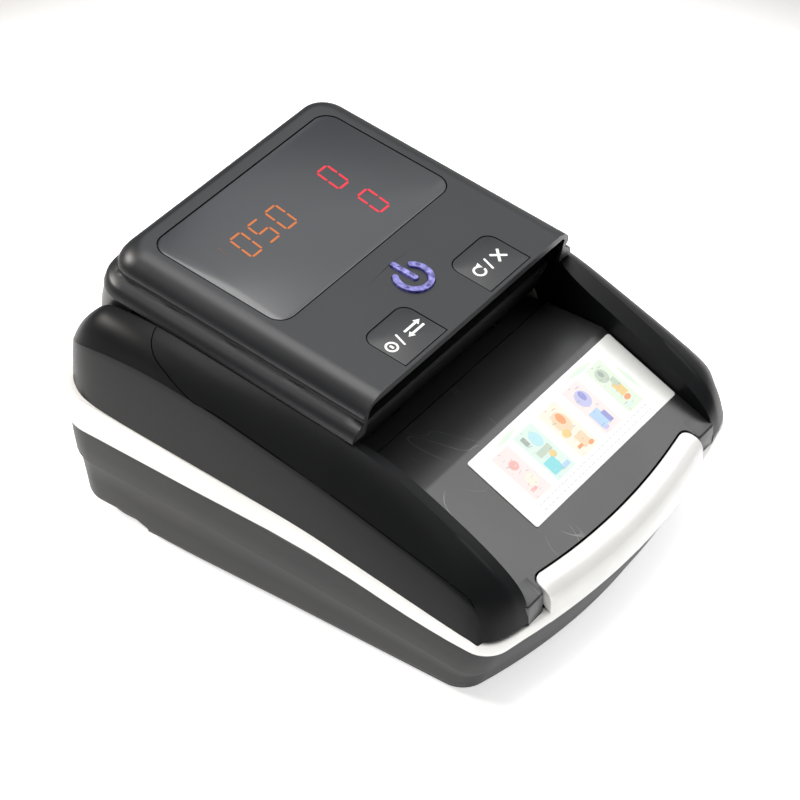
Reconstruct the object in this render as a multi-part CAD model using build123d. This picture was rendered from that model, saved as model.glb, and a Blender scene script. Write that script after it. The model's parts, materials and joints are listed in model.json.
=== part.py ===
from build123d import *
import os
from math import radians, tan

os.makedirs("parts", exist_ok=True)

# Frame: +X is the operator's right, -Y the feed side, +Z up.
# The origin is under the middle of the case, on the surface that the rubber feet stand on.

# overall size
case_length = 163.0
case_half_width = 62.5
foot_height = 2.0
wall = 2.2
fit_gap = 0.4

# lower case outlines: half widths and front and rear ends at the bottom and at the reference height
base_bottom = dict(z=foot_height, half_front=55.5, half_rear=57.5, front=-70.6, rear=76.6)
base_upper = dict(z=37.0, half_front=62.2, half_rear=62.2, front=-86.0, rear=81.4)
front_bow = 9.0
rear_bow = 3.0
front_corner = 8.0
rear_corner = 18.0

# white band: its lower and upper edges as (y, z) along the side
band_low_edge = [(-90.0, 24.5), (-60.0, 24.8), (-44.0, 27.2), (-14.0, 32.2), (25.0, 33.8), (90.0, 35.4)]
band_top_edge = [(-90.0, 27.5), (-69.0, 30.0), (-54.0, 33.0), (-12.0, 41.0), (25.0, 43.8), (90.0, 48.4)]
band_proud = 0.5
band_wall = 3.0

# front lip of the pale frame: its inner edge is an arc, and its top follows the tray
lip_inner_radius = 235.0
lip_inner_y = -74.2
lip_half_width = 38.3
lip_bottom = 24.95
lip_corner = 4.0
lip_round = 4.5

# feed tray: a floor that rises towards the back
tray_slope = 24.4
tray_ref_y = -39.6
tray_ref_z = 52.4
tray_half_width = 45.6
tray_thickness = 2.0
tray_crease_y = -37.6
label_width = 70.0
label_depth = 26.2
label_offset = 10.5
label_thickness = 0.3

# side fins and shoulders: stations (y, height at the fin's edge, ridge x, ridge height)
fin_inner = 46.0
fin_edge = 50.8
fin_bevel_drop = 1.9
shoulder_stations = [
    (-92.0, 10.0, 59.0, 8.0),
    (-79.0, 31.0, 59.2, 29.5),
    (-76.0, 38.0, 59.4, 35.5),
    (-71.0, 43.8, 59.6, 40.8),
    (-62.0, 50.0, 60.2, 44.6),
    (-50.0, 57.2, 60.8, 49.2),
    (-36.0, 63.6, 61.3, 53.6),
    (-19.0, 69.0, 61.6, 58.4),
    (16.0, 73.8, 61.7, 65.0),
    (46.0, 77.6, 61.7, 66.6),
    (62.0, 77.4, 61.6, 65.4),
    (72.0, 74.4, 61.4, 61.4),
    (80.0, 64.0, 61.0, 52.0),
    (92.0, 36.0, 60.0, 30.0),
]

# seam between the front shoulder pieces and the case behind and below them, as (y, z)
seam_line = [
    (-92.0, 8.0), (-79.0, 29.5), (-76.0, 35.5), (-71.0, 40.8), (-62.0, 44.6), (-50.0, 49.2), (-36.0, 53.6),
    (-19.0, 58.4), (16.0, 65.0), (28.0, 67.4), (36.0, 71.0), (42.0, 75.4), (45.0, 80.0),
]
seam_gap = 0.15

# head: its top plane is tilted down to the front; the local origin is the back edge of the display window
head_y = 57.95
head_z = 92.7
head_tilt = 7.28
head_front = -82.5
head_rear = 4.9
flank_profile = [(41.3, 0.0), (44.6, -0.7), (47.4, -2.6), (48.7, -5.3), (47.9, -7.4), (50.2, -9.3),
    (51.7, -11.2), (52.0, -13.2)]
head_wall = 2.2
head_inner_half = 50.7
opening_half = 51.3
hinge_y = 70.0
hinge_z = 66.6
hinge_pin_radius = 2.0
hinge_clearance = 0.05
knuckle_radius = 3.4
knuckle_inner = 40.0
hinge_pin_end = 54.2

# display window and keys, in the head's plane: distances run forward from the window's back edge
window_half = 39.9
window_depth = 46.9
window_corner = 5.2
window_thickness = 1.6
key_inner = 10.5
key_outer = 29.3
key_back = 66.0
key_front = 81.0
key_corner = 3.6
key_gap = 0.35
key_thickness = 1.6
power_y = -61.9
power_outer = 6.05
power_inner = 4.15
power_rise = 0.7
power_plate_radius = 7.6
digit_height = 10.3
digit_width = 5.7
red_digit_x = 18.1
red_digit_y = (-19.6, -34.3)
amber_digit_x = (-21.2, -13.4, -5.5)
amber_digit_y = -19.5

# note path
bed_z = 53.3
head_floor_z = 55.0
head_floor_thickness = 1.8
bed_half_width = 44.5
bed_front = -17.6
bed_bend = 48.0
bed_rear = 76.3
bed_rear_z = 50.6
bed_thickness = 1.6
side_plate_inner = 45.2
side_plate_thickness = 2.0
mouth_y = -24.4

# drive
front_shaft = (-5.0, 47.9)
rear_shaft = (40.0, 47.9)
motor_axis = (15.0, 32.0)
motor_shaft_end = 36.0
shaft_radius = 2.0
tyre_radius = 6.0
tyre_half_gap = 24.0
tyre_width = 12.0
running_clearance = 0.05
bearing_radius = 4.0
pulley_x = 49.6
pulley_width = 4.6
roller_pulley_radius = 5.5
motor_pulley_radius = 3.6
belt_thickness = 1.1
idler_radius = 4.0
idler_gap = 0.3
idler_shaft_radius = 1.25

# power and boards
battery_size = (58.0, 38.0, 19.0)
battery_centre = (0.0, 25.0)
door_size = (66.0, 46.0)
door_thickness = 2.0
inlet_x = 34.0
inlet_z = 16.0
inlet_hole_radius = 2.75
port_x = 17.0
screw_spots = [(-47.0, -50.0), (47.0, -50.0), (-45.0, 60.0), (45.0, 60.0)]
rear_step = 2.7
rear_step_y = 50.0
foot_spots = [(-45.0, -36.0), (45.0, -36.0), (-45.0, 40.0), (45.0, 40.0)]


def write(node, shape):
    shape.label = node
    export_step(shape, "parts/" + node + ".step")


def group(solids):
    return Compound(children=list(solids))


def block(x0, x1, y0, y1, z0, z1):
    return Pos((x0 + x1) / 2, (y0 + y1) / 2, (z0 + z1) / 2) * Box(x1 - x0, y1 - y0, z1 - z0)


def rod(radius, x0, x1, y, z):
    return Pos((x0 + x1) / 2, y, z) * Rot(0, 90, 0) * Cylinder(radius, x1 - x0)


def sleeve(outer, inner, x0, x1, y, z):
    return rod(outer, x0, x1, y, z) - rod(inner, x0 - 1, x1 + 1, y, z)


def side_sheet(points, half):
    # a closed outline in the YZ plane, stretched to both sides along X
    outline_wire = Polyline(*[(y, z) for y, z in points], close=True)
    return extrude(Plane.YZ * make_face(outline_wire), amount=half, both=True)


def on_head(shape, lift=0.0):
    # places a shape that is drawn in the head's plane
    return Pos(0, head_y, head_z) * Rot(head_tilt, 0, 0) * Pos(0, 0, lift) * shape


def floor_height(y):
    return tray_ref_z + (y - tray_ref_y) * tan(radians(tray_slope))


def plan(half_front, half_rear, front, rear, inset=0.0):
    # plan outline with a bowed front, tapered sides and a slightly bowed rear
    hf, hr = half_front - inset, half_rear - inset
    yf, yr = front + inset, rear - inset
    front_arc = ThreePointArc((-hf, yf + front_bow), (0, yf), (hf, yf + front_bow))
    rear_arc = ThreePointArc((hr, yr - rear_bow), (0, yr), (-hr, yr - rear_bow))
    sides = [Line((hf, yf + front_bow), (hr, yr - rear_bow)),
        Line((-hr, yr - rear_bow), (-hf, yf + front_bow))]
    face = make_face(Curve() + [front_arc, sides[0], rear_arc, sides[1]])
    face = fillet(face.vertices().sort_by(Axis.Y)[-2:], rear_corner - inset)
    return fillet(face.vertices().sort_by(Axis.Y)[:2], front_corner - inset)


def lower_block(inset=0.0):
    low = plan(base_bottom["half_front"], base_bottom["half_rear"], base_bottom["front"],
        base_bottom["rear"], inset)
    high = plan(base_upper["half_front"], base_upper["half_rear"], base_upper["front"],
        base_upper["rear"], inset)
    z_low = base_bottom["z"] + inset
    return loft([Pos(0, 0, z_low) * low, Pos(0, 0, base_upper["z"]) * high], ruled=True)


def upper_plan(proud=0.0, inset=0.0):
    half = case_half_width - band_proud + proud
    end = case_length / 2 - band_proud + proud
    return plan(half - 1.2, half, -end, end, inset)


def above(edge, reach=80.0):
    return side_sheet(edge + [(90.0, 150.0), (-90.0, 150.0)], reach)


def below(edge, reach=80.0):
    return side_sheet(edge + [(90.0, -10.0), (-90.0, -10.0)], reach)


def shoulder_cutter(inset=0.0):
    # everything above the bevel, the fin's edge and the sloping shoulder, as one ruled solid along Y
    sections = []
    for y, z_edge, x_ridge, z_ridge in shoulder_stations:
        slope = (z_edge - z_ridge) / (x_ridge - fin_edge)
        points = [
            (fin_inner - 12.0, z_edge - fin_bevel_drop - inset),
            (fin_inner + inset, z_edge - fin_bevel_drop - inset),
            (fin_edge, z_edge - inset),
            (x_ridge - inset, z_ridge - inset),
            (x_ridge + 20.0, z_ridge - slope * 20.0 - 30.0 - inset),
            (x_ridge + 20.0, 130.0),
            (fin_inner - 12.0, 130.0),
        ]
        wire = Polyline(*[(x, 0, z) for x, z in points], close=True)
        sections.append(Pos(0, y, 0) * make_face(wire))
    right = loft(sections, ruled=True)
    return right + mirror(right, about=Plane.YZ)


def upper_block(inset=0.0):
    body = Pos(0, 0, 26) * extrude(upper_plan(0.0, inset), amount=60)
    return body - shoulder_cutter(inset)


def floor_bottom(y):
    # the floor is stepped up behind the rear feet
    return foot_height + (rear_step if y > rear_step_y else 0.0)


def build_base_shell():
    shell = lower_block() - lower_block(wall) - above(band_low_edge)
    raised = foot_height + rear_step
    shell -= block(-70, 70, rear_step_y, 90, 0, raised)
    shell += lower_block() & block(-70, 70, rear_step_y - wall, 90, raised, raised + wall)
    for x, y in screw_spots:
        low = floor_bottom(y)
        shell += Pos(x, y, (low + 22.0) / 2) * Cylinder(4.2, 22.0 - low)
        shell -= Pos(x, y, 12) * Cylinder(1.55, 30)
        shell -= Pos(x, y, low + 1.25) * Cylinder(3.0, 2.5)
    for x, y in foot_spots:
        shell -= Pos(x, y, foot_height + 0.5) * Cylinder(5.2, 1.0)
    bx, by = battery_centre
    dx, dy = door_size
    shell -= block(bx - dx / 2, bx + dx / 2, by - dy / 2, by + dy / 2, 0, foot_height + wall + 1)
    return shell


def build_battery_door():
    x, y = battery_centre
    dx, dy = door_size[0] - 2 * fit_gap, door_size[1] - 2 * fit_gap
    plate = block(x - dx / 2, x + dx / 2, y - dy / 2, y + dy / 2, foot_height, foot_height + door_thickness)
    for step in range(4):
        groove_y = y + dy / 2 - 6.0 - step * 3.0
        plate -= block(x - 10, x + 10, groove_y, groove_y + 1.2, foot_height - 1, foot_height + 0.6)
    return plate - Pos(x, y - dy / 2 + 5.0, 3) * Cylinder(1.6, 6)


def build_battery_pack():
    x, y = battery_centre
    lx, ly, lz = battery_size
    low = foot_height + door_thickness + 0.3
    cells = []
    radius = lz / 2
    for side in (-1, 1):
        cell = rod(radius, x - lx / 2, x + lx / 2, y + side * radius, low + radius)
        cells.append(cell)
    sleeve_block = block(x - lx / 2, x + lx / 2, y - radius, y + radius, low, low + lz)
    return cells[0] + cells[1] + sleeve_block


def lip_hollow(grow=0.0):
    # everything behind the lip's curved inner edge
    return Pos(0, lip_inner_y + lip_inner_radius, 30) * Cylinder(lip_inner_radius + grow, 80)


def build_mid_frame():
    outer = Pos(0, 0, 20) * extrude(upper_plan(band_proud), amount=34)
    inner = Pos(0, 0, 19) * extrude(upper_plan(band_proud, band_wall), amount=36)
    ring = (outer - inner) & above(band_low_edge) & below(band_top_edge)
    tray_top = [(-90.0, floor_height(-90.0)), (-50.0, floor_height(-50.0))]
    tray_under = [(y, z - tray_thickness - 0.4) for y, z in tray_top]
    front = (outer & block(-lip_half_width, lip_half_width, -90, -60, lip_bottom, 60)) - lip_hollow()
    lip = front & side_sheet(tray_top + [(-50, 0), (-90, 0)], 80)
    front_edge = lip.edges().filter_by(lambda edge: edge.center().Y < -79 and edge.center().Z > 30)
    lip = fillet(front_edge, lip_round)
    upright = lip.edges().filter_by(lambda edge: edge.center().Y > -74 and abs(edge.center().X) > lip_half_width - 0.1)
    lip = fillet(upright.filter_by(Axis.Z), lip_corner)
    ledges = outer & block(-fin_inner + 0.1, fin_inner - 0.1, -90, -60, lip_bottom, 60)
    ledges = (ledges - lip_hollow() - block(-lip_half_width, lip_half_width, -90, -60, 0, 60)) \
        & side_sheet(tray_under + [(-50, 0), (-90, 0)], 80)
    return ring + lip + ledges


def shoulder_region(shrink=0.0):
    # what lies above and in front of the seam, seen from the side
    points = [(y - shrink, z + shrink) for y, z in seam_line]
    return side_sheet(points + [(45.0 - shrink, 150.0), (-95.0, 150.0)], 80)


def full_upper():
    solid = upper_block()
    inner = upper_block(wall)
    fin_walls = block(-fin_inner - wall, fin_inner + wall, -90, -20, 20, 120)
    solid -= inner - fin_walls
    solid -= block(-fin_inner, fin_inner, -92, -15.0, 20, 120)
    bay_low = bed_z - 3.0
    rear_low = bed_rear_z - 0.2
    bay = side_sheet([(mouth_y - 1.0, bay_low), (60, bay_low), (60, rear_low), (95, rear_low), (95, 140),
        (mouth_y - 1.0, 140)],
                     opening_half)
    solid = (solid - bay) & above(band_top_edge)
    for side in (-1, 1):
        cheek = block(opening_half, 59.0, 60.0, 76.0, 52.0, 72.0) & upper_block(0.3)
        solid += cheek if side > 0 else mirror(cheek, about=Plane.YZ)
    solid -= rod(hinge_pin_radius, -hinge_pin_end, hinge_pin_end, hinge_y, hinge_z)
    return solid


def build_upper_case():
    return full_upper() - shoulder_region()


def build_shoulder(side):
    half = block(0, 80, -95, 95, 0, 150)
    piece = full_upper() & shoulder_region(seam_gap) & half
    return piece if side > 0 else mirror(piece, about=Plane.YZ)


def build_feed_tray():
    front = -76.6
    plate = side_sheet(
        [(front, floor_height(front)), (tray_crease_y, bed_z), (bed_front - 0.2, bed_z),
         (bed_front - 0.2, bed_z - tray_thickness), (tray_crease_y + 0.5, bed_z - tray_thickness),
         (front, floor_height(front) - tray_thickness)], tray_half_width)
    lip_room = block(-lip_half_width - fit_gap, lip_half_width + fit_gap, -90, -60, 0,
        60) - lip_hollow(-fit_gap)
    corners = lip_room.edges().filter_by(Axis.Z).filter_by(lambda edge: edge.center().Y > -80)
    return plate - fillet(corners, lip_corner)


def build_tray_label():
    face = RectangleRounded(label_width, label_depth, 1.0)
    flat = extrude(Pos(label_offset, -label_depth / 2, 0) * face, amount=label_thickness)
    return Pos(0, tray_ref_y, tray_ref_z) * Rot(tray_slope, 0, 0) * flat


def bed_profile(drop, thickness):
    points = [(bed_front, bed_z), (bed_bend, bed_z), (bed_rear, bed_rear_z)]
    top = [(y, z - drop) for y, z in points]
    return top + [(y, z - drop - thickness) for y, z in reversed(points)]


def build_lower_bed():
    bed = side_sheet(bed_profile(0.0, bed_thickness), bed_half_width)
    for shaft_y, shaft_z in (front_shaft, rear_shaft):
        for side in (-1, 1):
            x = side * tyre_half_gap
            reach = tyre_width / 2 + 0.6
            bed -= block(x - reach, x + reach, shaft_y - 7.0, shaft_y + 7.0, 40, 60)
    bed -= block(-38, 38, 7.0, 17.0, 40, 60)
    return bed


def build_side_plate(side):
    x0 = side_plate_inner
    x1 = side_plate_inner + side_plate_thickness
    plate = block(x0, x1, -14.0, 46.0, 24.0, bed_z - bed_thickness)
    plate += block(bed_half_width - 6.0, x0 + 0.5, -14.0, 46.0, bed_z - 2 * bed_thickness - 1.0,
        bed_z - bed_thickness)
    plate += block(x1 - 10.0, x1 + 6.0, -14.0, -6.0, 24.0, 26.0)
    plate += block(x1 - 10.0, x1 + 6.0, 38.0, 46.0, 24.0, 26.0)
    for shaft_y, shaft_z in (front_shaft, rear_shaft):
        plate -= rod(bearing_radius, x0 - 20, x1 + 20, shaft_y, shaft_z)
    if side < 0:
        return mirror(plate, about=Plane.YZ)
    return plate - rod(5.0, x0 - 20, x1 + 20, *motor_axis)


def build_bearings():
    rings = []
    for shaft_y, shaft_z in (front_shaft, rear_shaft):
        for side in (-1, 1):
            x0 = side_plate_inner - 0.6 if side > 0 else -side_plate_inner - side_plate_thickness - 0.2
            x1 = x0 + side_plate_thickness + 0.8
            rings.append(sleeve(bearing_radius, shaft_radius + running_clearance, x0, x1, shaft_y, shaft_z))
    return group(rings)


def build_drive_roller(shaft):
    y, z = shaft
    shape = rod(shaft_radius, -side_plate_inner - 3.4, pulley_x + pulley_width - 0.3, y, z)
    for x in (-1, 1):
        cx = x * tyre_half_gap
        shape += rod(3.2, cx - tyre_width / 2 - 1.0, cx + tyre_width / 2 + 1.0, y, z)
    return shape


def build_tyres(shaft):
    y, z = shaft
    tyres = []
    for side in (-1, 1):
        cx = side * tyre_half_gap
        tyres.append(sleeve(tyre_radius, 3.2, cx - tyre_width / 2, cx + tyre_width / 2, y, z))
    return group(tyres)


def build_pulley(axis, radius, bore):
    y, z = axis
    wheel = rod(radius, pulley_x, pulley_x + pulley_width, y, z)
    wheel += rod(radius + 1.6, pulley_x, pulley_x + 0.6, y, z)
    wheel += rod(radius + 1.6, pulley_x + pulley_width - 0.6, pulley_x + pulley_width, y, z)
    return wheel - rod(bore, pulley_x - 1, pulley_x + pulley_width + 1, y, z)


def build_belt():
    def hull(extra):
        circles = []
        for (y, z), radius in ((front_shaft, roller_pulley_radius), (rear_shaft, roller_pulley_radius),
                               (motor_axis, motor_pulley_radius)):
            circles += (Pos(y, z) * Circle(radius + extra)).edges()
        return make_hull(circles)
    band = hull(0.1 + belt_thickness) - hull(0.1)
    x0 = pulley_x + 0.9
    return Pos(x0, 0, 0) * extrude(Plane.YZ * band, amount=pulley_width - 1.8)


def build_motor():
    y, z = motor_axis
    can = rod(10.5, 14.0, side_plate_inner - 0.1, y, z) & block(10, 50, y - 10.5, y + 10.5, z - 8.0,
        z + 8.0)
    can += rod(3.0, 11.0, 14.0, y, z)
    can += rod(4.0, side_plate_inner - 0.2, side_plate_inner + side_plate_thickness, y, z)
    return can - rod(1.0 + running_clearance, motor_shaft_end, 60, y, z)


def build_motor_pulley():
    y, z = motor_axis
    wheel = build_pulley(motor_axis, motor_pulley_radius, 1.0)
    return wheel + rod(1.0, motor_shaft_end + 0.5, pulley_x + pulley_width, y, z)


def build_encoder_disc():
    y, z = rear_shaft
    x0 = -side_plate_inner - 3.4
    disc = sleeve(9.0, shaft_radius, x0, x0 + 0.8, y, z)
    for step in range(12):
        slot = block(x0 - 1, x0 + 2, -0.6, 0.6, 5.8, 8.0)
        disc -= Pos(0, y, z) * Rot(step * 30.0, 0, 0) * slot
    return disc


def build_sensor_windows():
    strips = []
    for x in (-19.0, 19.0):
        strips.append(block(x - 16.0, x + 16.0, 7.4, 16.6, bed_z - bed_thickness, bed_z))
    return group(strips)


def build_lower_sensor_board():
    low = bed_z - 5.4
    board = block(-37, 37, 4.0, 20.0, low, low + 1.4)
    for x in (-30, -18, -6, 6, 18, 30):
        board += block(x - 2, x + 2, 10.0, 14.0, low + 1.4, low + 3.2)
    return board


def build_main_board():
    board = block(-42, 42, -52.0, -20.0, 22.4, 24.0)
    for x, y, lx, ly, lz in ((-18, -36, 14, 14, 1.6), (12, -32, 10, 10, 1.4), (30, -44, 12, 8, 8.0),
        (-34, -44, 8, 10, 6.0)):
        board += block(x - lx / 2, x + lx / 2, y - ly / 2, y + ly / 2, 24.0, 24.0 + lz)
    return board


def build_buzzer():
    return Pos(28, -27, 24 + 3) * Cylinder(6.0, 6.0) - Pos(28, -27, 30) * Cylinder(1.2, 3.0)


def rear_wall_y(z, x):
    # inner face of the rear wall of the lower case, for what is set into it
    share = (z - base_bottom["z"]) / (base_upper["z"] - base_bottom["z"])
    end = base_bottom["rear"] + share * (base_upper["rear"] - base_bottom["rear"])
    return end - wall - rear_bow * (x / base_bottom["half_rear"]) ** 2


def build_dc_inlet():
    wall_y = rear_wall_y(inlet_z - 5.0, inlet_x + 4.5) - 0.3
    body = block(inlet_x - 4.5, inlet_x + 4.5, wall_y - 12.0, wall_y, inlet_z - 5.0, inlet_z + 5.0)
    barrel = Pos(inlet_x, wall_y + 1.5, inlet_z) * Rot(90, 0, 0) * Cylinder(4.0, 3.4)
    hole = Pos(inlet_x, wall_y - 2.6, inlet_z) * Rot(90, 0, 0) * Cylinder(inlet_hole_radius, 14.0)
    pin = Pos(inlet_x, wall_y - 4.9, inlet_z) * Rot(90, 0, 0) * Cylinder(0.9, 10.0)
    return body + barrel - hole + pin


def build_update_port():
    wall_y = rear_wall_y(inlet_z, port_x + 4.5)
    shell = block(port_x - 4.5, port_x + 4.5, wall_y - 7.0, wall_y + 1.4, inlet_z - 1.8, inlet_z + 1.8)
    shell -= block(port_x - 3.9, port_x + 3.9, wall_y - 6.0, wall_y + 3, inlet_z - 1.2, inlet_z + 1.2)
    return shell + block(port_x - 2.9, port_x + 2.9, wall_y - 6.5, wall_y, inlet_z - 0.3, inlet_z + 0.3)


def cut_rear_ports(shell):
    y = rear_wall_y(inlet_z, inlet_x)
    shell -= Pos(inlet_x, y, inlet_z) * Rot(90, 0, 0) * Cylinder(4.1, 12.0)
    return shell - block(port_x - 4.6, port_x + 4.6, y - 4, y + 8, inlet_z - 1.9, inlet_z + 1.9)


def build_feet():
    feet = []
    for x, y in foot_spots:
        pad = Pos(x, y, (foot_height + 1.0) / 2) * Cylinder(5.0, foot_height + 1.0)
        feet.append(chamfer(pad.edges().sort_by(Axis.Z)[0], 0.6))
    return group(feet)


def build_screws():
    screws = []
    for x, y in screw_spots:
        low = floor_bottom(y)
        head = Pos(x, y, low + 1.6) * Cylinder(2.7, 1.8)
        shank = Pos(x, y, low + 11.0) * Cylinder(1.5, 17.6)
        cross = Pos(x, y, low + 0.9) * (Box(3.2, 0.7, 1.4) + Box(0.7, 3.2, 1.4))
        screws.append(head + shank - cross)
    x, y = battery_centre
    dy = door_size[1] - 2 * fit_gap
    small = Pos(x, y - dy / 2 + 5.0, foot_height + 1.4) * Cylinder(1.5, 2.8)
    screws.append(small)
    return group(screws)


def flank_face(inset, bottom):
    # cross-section of the head, drawn in X and height above its top plane
    right = [(x - inset, h - (inset if h > -2.0 else inset * 0.4)) for x, h in flank_profile]
    right[-1] = (right[-1][0], bottom)
    left = [(-x, h) for x, h in reversed(right)]
    wire = Polyline(*[(x, 0, h) for x, h in right + left], close=True)
    return make_face(wire)


def head_slab(inset, bottom):
    face = flank_face(inset, bottom)
    length = head_rear - head_front - 2 * inset
    slab = extrude(Pos(0, head_rear - inset, 0) * face, amount=length, dir=(0, -1, 0))
    return on_head(slab)


def head_plan(inset=0.0):
    # plan of the head in its own plane, with rounded corners at the rear and at the front
    half = 52.0 - inset
    face = Pos(0, (head_front + 18.0) / 2, 0) * Rectangle(2 * half, 18.0 - head_front - 2 * inset)
    face = fillet(face.vertices().sort_by(Axis.Y)[-2:], 10.0 - inset)
    return fillet(face.vertices().sort_by(Axis.Y)[:2], 3.2 - inset * 0.5)


def neck(inset=0.0):
    # the swept part behind the display that reaches down to the hinge
    outline_points = [
        (54.0, 70.0 + inset), (64.4, 70.0 + inset), (66.6, 67.4 + inset), (hinge_y + 2.0, 66.6 + inset),
            (73.4 - inset, 70.0),
        (73.0 - inset, 77.0), (71.0 - inset, 84.0), (67.6 - inset, 90.0), (63.2 - inset, 93.2 - inset),
            (54.0, 91.0 - inset),
    ]
    return side_sheet(outline_points, head_inner_half - inset)


def build_head_cover():
    front_trim = on_head(side_sheet([(-90, 3), (head_front, 3), (head_front, -1.6),
        (head_front + 3.2, -13.2),
                                     (head_front + 3.2, -30), (-90, -30)], 60))
    column = on_head(extrude(head_plan(), amount=40, both=True))
    profile_column = on_head(extrude(flank_face(0.0, -60.0), amount=120, both=True))
    outer = (head_slab(0.0, -13.2) - front_trim + (neck() & profile_column)) & column
    inner_column = on_head(extrude(head_plan(head_wall), amount=40, both=True))
    inner_slab = head_slab(head_wall, -30.0) - on_head(block(-60, 60, head_front - 5, head_front + 6.0,
        -40, 5))
    inner_profile = on_head(extrude(flank_face(head_wall, -60.0), amount=120, both=True))
    cover = outer - ((inner_slab + neck(head_wall)) & inner_column & inner_profile)
    for x in (knuckle_inner, -knuckle_inner):
        wide = (x, x + 10.6) if x > 0 else (x - 10.6, x)
        cover += rod(knuckle_radius, *wide, hinge_y, hinge_z)
    window_face = Pos(0, -window_depth / 2, 0) * RectangleRounded(2 * (window_half + 0.3),
        window_depth + 0.6, window_corner + 0.3)
    cover -= on_head(extrude(window_face, amount=4), -window_thickness)
    light_opening = Pos(0, -window_depth / 2, 0) * RectangleRounded(2 * window_half - 5,
        window_depth - 5, 3)
    cover -= on_head(extrude(light_opening, amount=6), -5)
    for side in (-1, 1):
        cover -= on_head(extrude(key_face(side, key_gap), amount=6), -5)
    cover -= on_head(extrude(power_face(0.25), amount=6), -5)
    cover -= rod(hinge_pin_radius + hinge_clearance, -60, 60, hinge_y, hinge_z)
    return cover


def key_face(side, grow=0.0):
    x0, x1 = key_inner - grow, key_outer + grow
    depth = key_front - key_back
    face = Pos((x0 + x1) / 2, -(key_back + key_front) / 2, 0) * Rectangle(x1 - x0, depth + 2 * grow)
    face = fillet(face.vertices().sort_by(Axis.Y)[-2:], key_corner + grow)
    return face if side > 0 else mirror(face, about=Plane.YZ)


def build_key(side):
    cap = extrude(key_face(side), amount=key_thickness)
    cap = Pos(0, 0, -key_thickness) * cap
    x = side * (key_inner + key_outer) / 2
    stem = Pos(x, -(key_back + 5.0), -key_thickness - 1.0) * Box(4.0, 4.0, 2.0)
    bar = Pos(x, -key_front + 0.8, -key_thickness + 0.2) * Rot(0, 90, 0) * Cylinder(0.7,
        key_outer - key_inner)
    return on_head(cap + stem + bar)


def power_face(grow=0.0):
    # a round arc open to the back with a bar from its middle
    ring = Circle(power_outer + grow) - Circle(power_inner - grow)
    opening_angle = 47.0
    reach = 12.0
    wedge = make_face(Polyline((0, 0), (reach * tan(radians(opening_angle)), reach),
        (-reach * tan(radians(opening_angle)), reach), close=True))
    arc = ring - wedge
    width = power_outer - power_inner + 2 * grow
    bar = Pos(0, 4.2) * SlotOverall(9.0 + 2 * grow, width, rotation=90)
    return Pos(0, power_y, 0) * (arc + bar)


def build_power_button():
    symbol = Pos(0, 0, -head_wall - 0.4) * extrude(power_face(), amount=head_wall + 0.4 + power_rise)
    plate = Pos(0, power_y + 1.4, -head_wall - 1.0) * Cylinder(power_plate_radius + 1.4, 1.2)
    return on_head(symbol + plate)


def build_display_window():
    face = Pos(0, -window_depth / 2, 0) * RectangleRounded(2 * window_half, window_depth, window_corner)
    return on_head(extrude(face, amount=window_thickness - 0.1), -window_thickness + 0.1)


def build_display_board():
    face = Pos(0, -31.0, 0) * Rectangle(74, 66)
    return on_head(extrude(face, amount=1.6), -13.0)


def build_digit_modules():
    modules = []
    spots = [(x, amber_digit_y) for x in amber_digit_x] + [(red_digit_x, y) for y in red_digit_y]
    for x, y in spots:
        modules.append(on_head(Pos(x, y, -8.2) * Box(digit_width + 1.6, digit_height + 2.2, 6.4)))
    return group(modules)


def build_key_switches():
    parts = []
    mid = (key_inner + key_outer) / 2
    for x, y in ((-mid, -key_back - 5.0), (mid, -key_back - 5.0)):
        body = Pos(x, y, -6.6) * Box(6.0, 6.0, 3.6) + Pos(x, y, -4.4) * Cylinder(1.6, 1.0)
        parts.append(on_head(body))
    power_switch = Pos(0, power_y + 1.4, -9.6) * Box(6.0, 6.0, 3.6) + Pos(0, power_y + 1.4,
        -6.3) * Cylinder(1.6, 3.4)
    parts.append(on_head(power_switch))
    return group(parts)


def build_key_board():
    strip = block(-34, 34, -key_back - 9.0, -key_back - 0.8, -10.0, -8.4)
    return on_head(strip - Pos(0, power_y, -9) * Cylinder(1, 1))


def build_head_base():
    top = on_head(block(-head_inner_half + 3.2, head_inner_half - 3.2, -78.0, 2.0, -40.0, -15.2))
    outline_points = [(-19.0, 70.0), (-12.6, head_floor_z), (59.0, head_floor_z), (63.6, 66.4),
        (63.6, 80.0), (-19.4, 75.0)]
    body = side_sheet(outline_points, head_inner_half - 4.6) & top
    inner_low = head_floor_z + head_floor_thickness
    inner = side_sheet([(-15.0, 71.0), (-11.6, inner_low), (58.0, inner_low), (60.0, 95.0), (-15.0, 95.0)],
                       head_inner_half - 7.0)
    body -= inner
    for y in (front_shaft[0], rear_shaft[0]):
        for side in (-1, 1):
            x = side * tyre_half_gap
            body -= block(x - 6.6, x + 6.6, y - 5.4, y + 5.4, head_floor_z - 1, head_floor_z + 3)
    body -= block(-6.0, 6.0, 20.0, 30.0, head_floor_z - 1, head_floor_z + 3)
    return body


def idler_axis(shaft):
    return shaft[0], shaft[1] + tyre_radius + idler_gap + idler_radius


def build_idler(shaft):
    y, z = idler_axis(shaft)
    shape = rod(idler_shaft_radius, -34.0, 34.0, y, z)
    for side in (-1, 1):
        cx = side * tyre_half_gap
        shape += rod(idler_radius, cx - 5.5, cx + 5.5, y, z)
    return shape


def build_idler_brackets():
    parts = []
    for shaft in (front_shaft, rear_shaft):
        y, z = idler_axis(shaft)
        for x in (-34.0, 34.0):
            ear = block(x - 1.5, x + 1.5, y - 3.0, y + 3.0, head_floor_z + head_floor_thickness, z + 3.0)
            parts.append(ear - rod(idler_shaft_radius + running_clearance, x - 3, x + 3, y, z))
    return group(parts)


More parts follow.
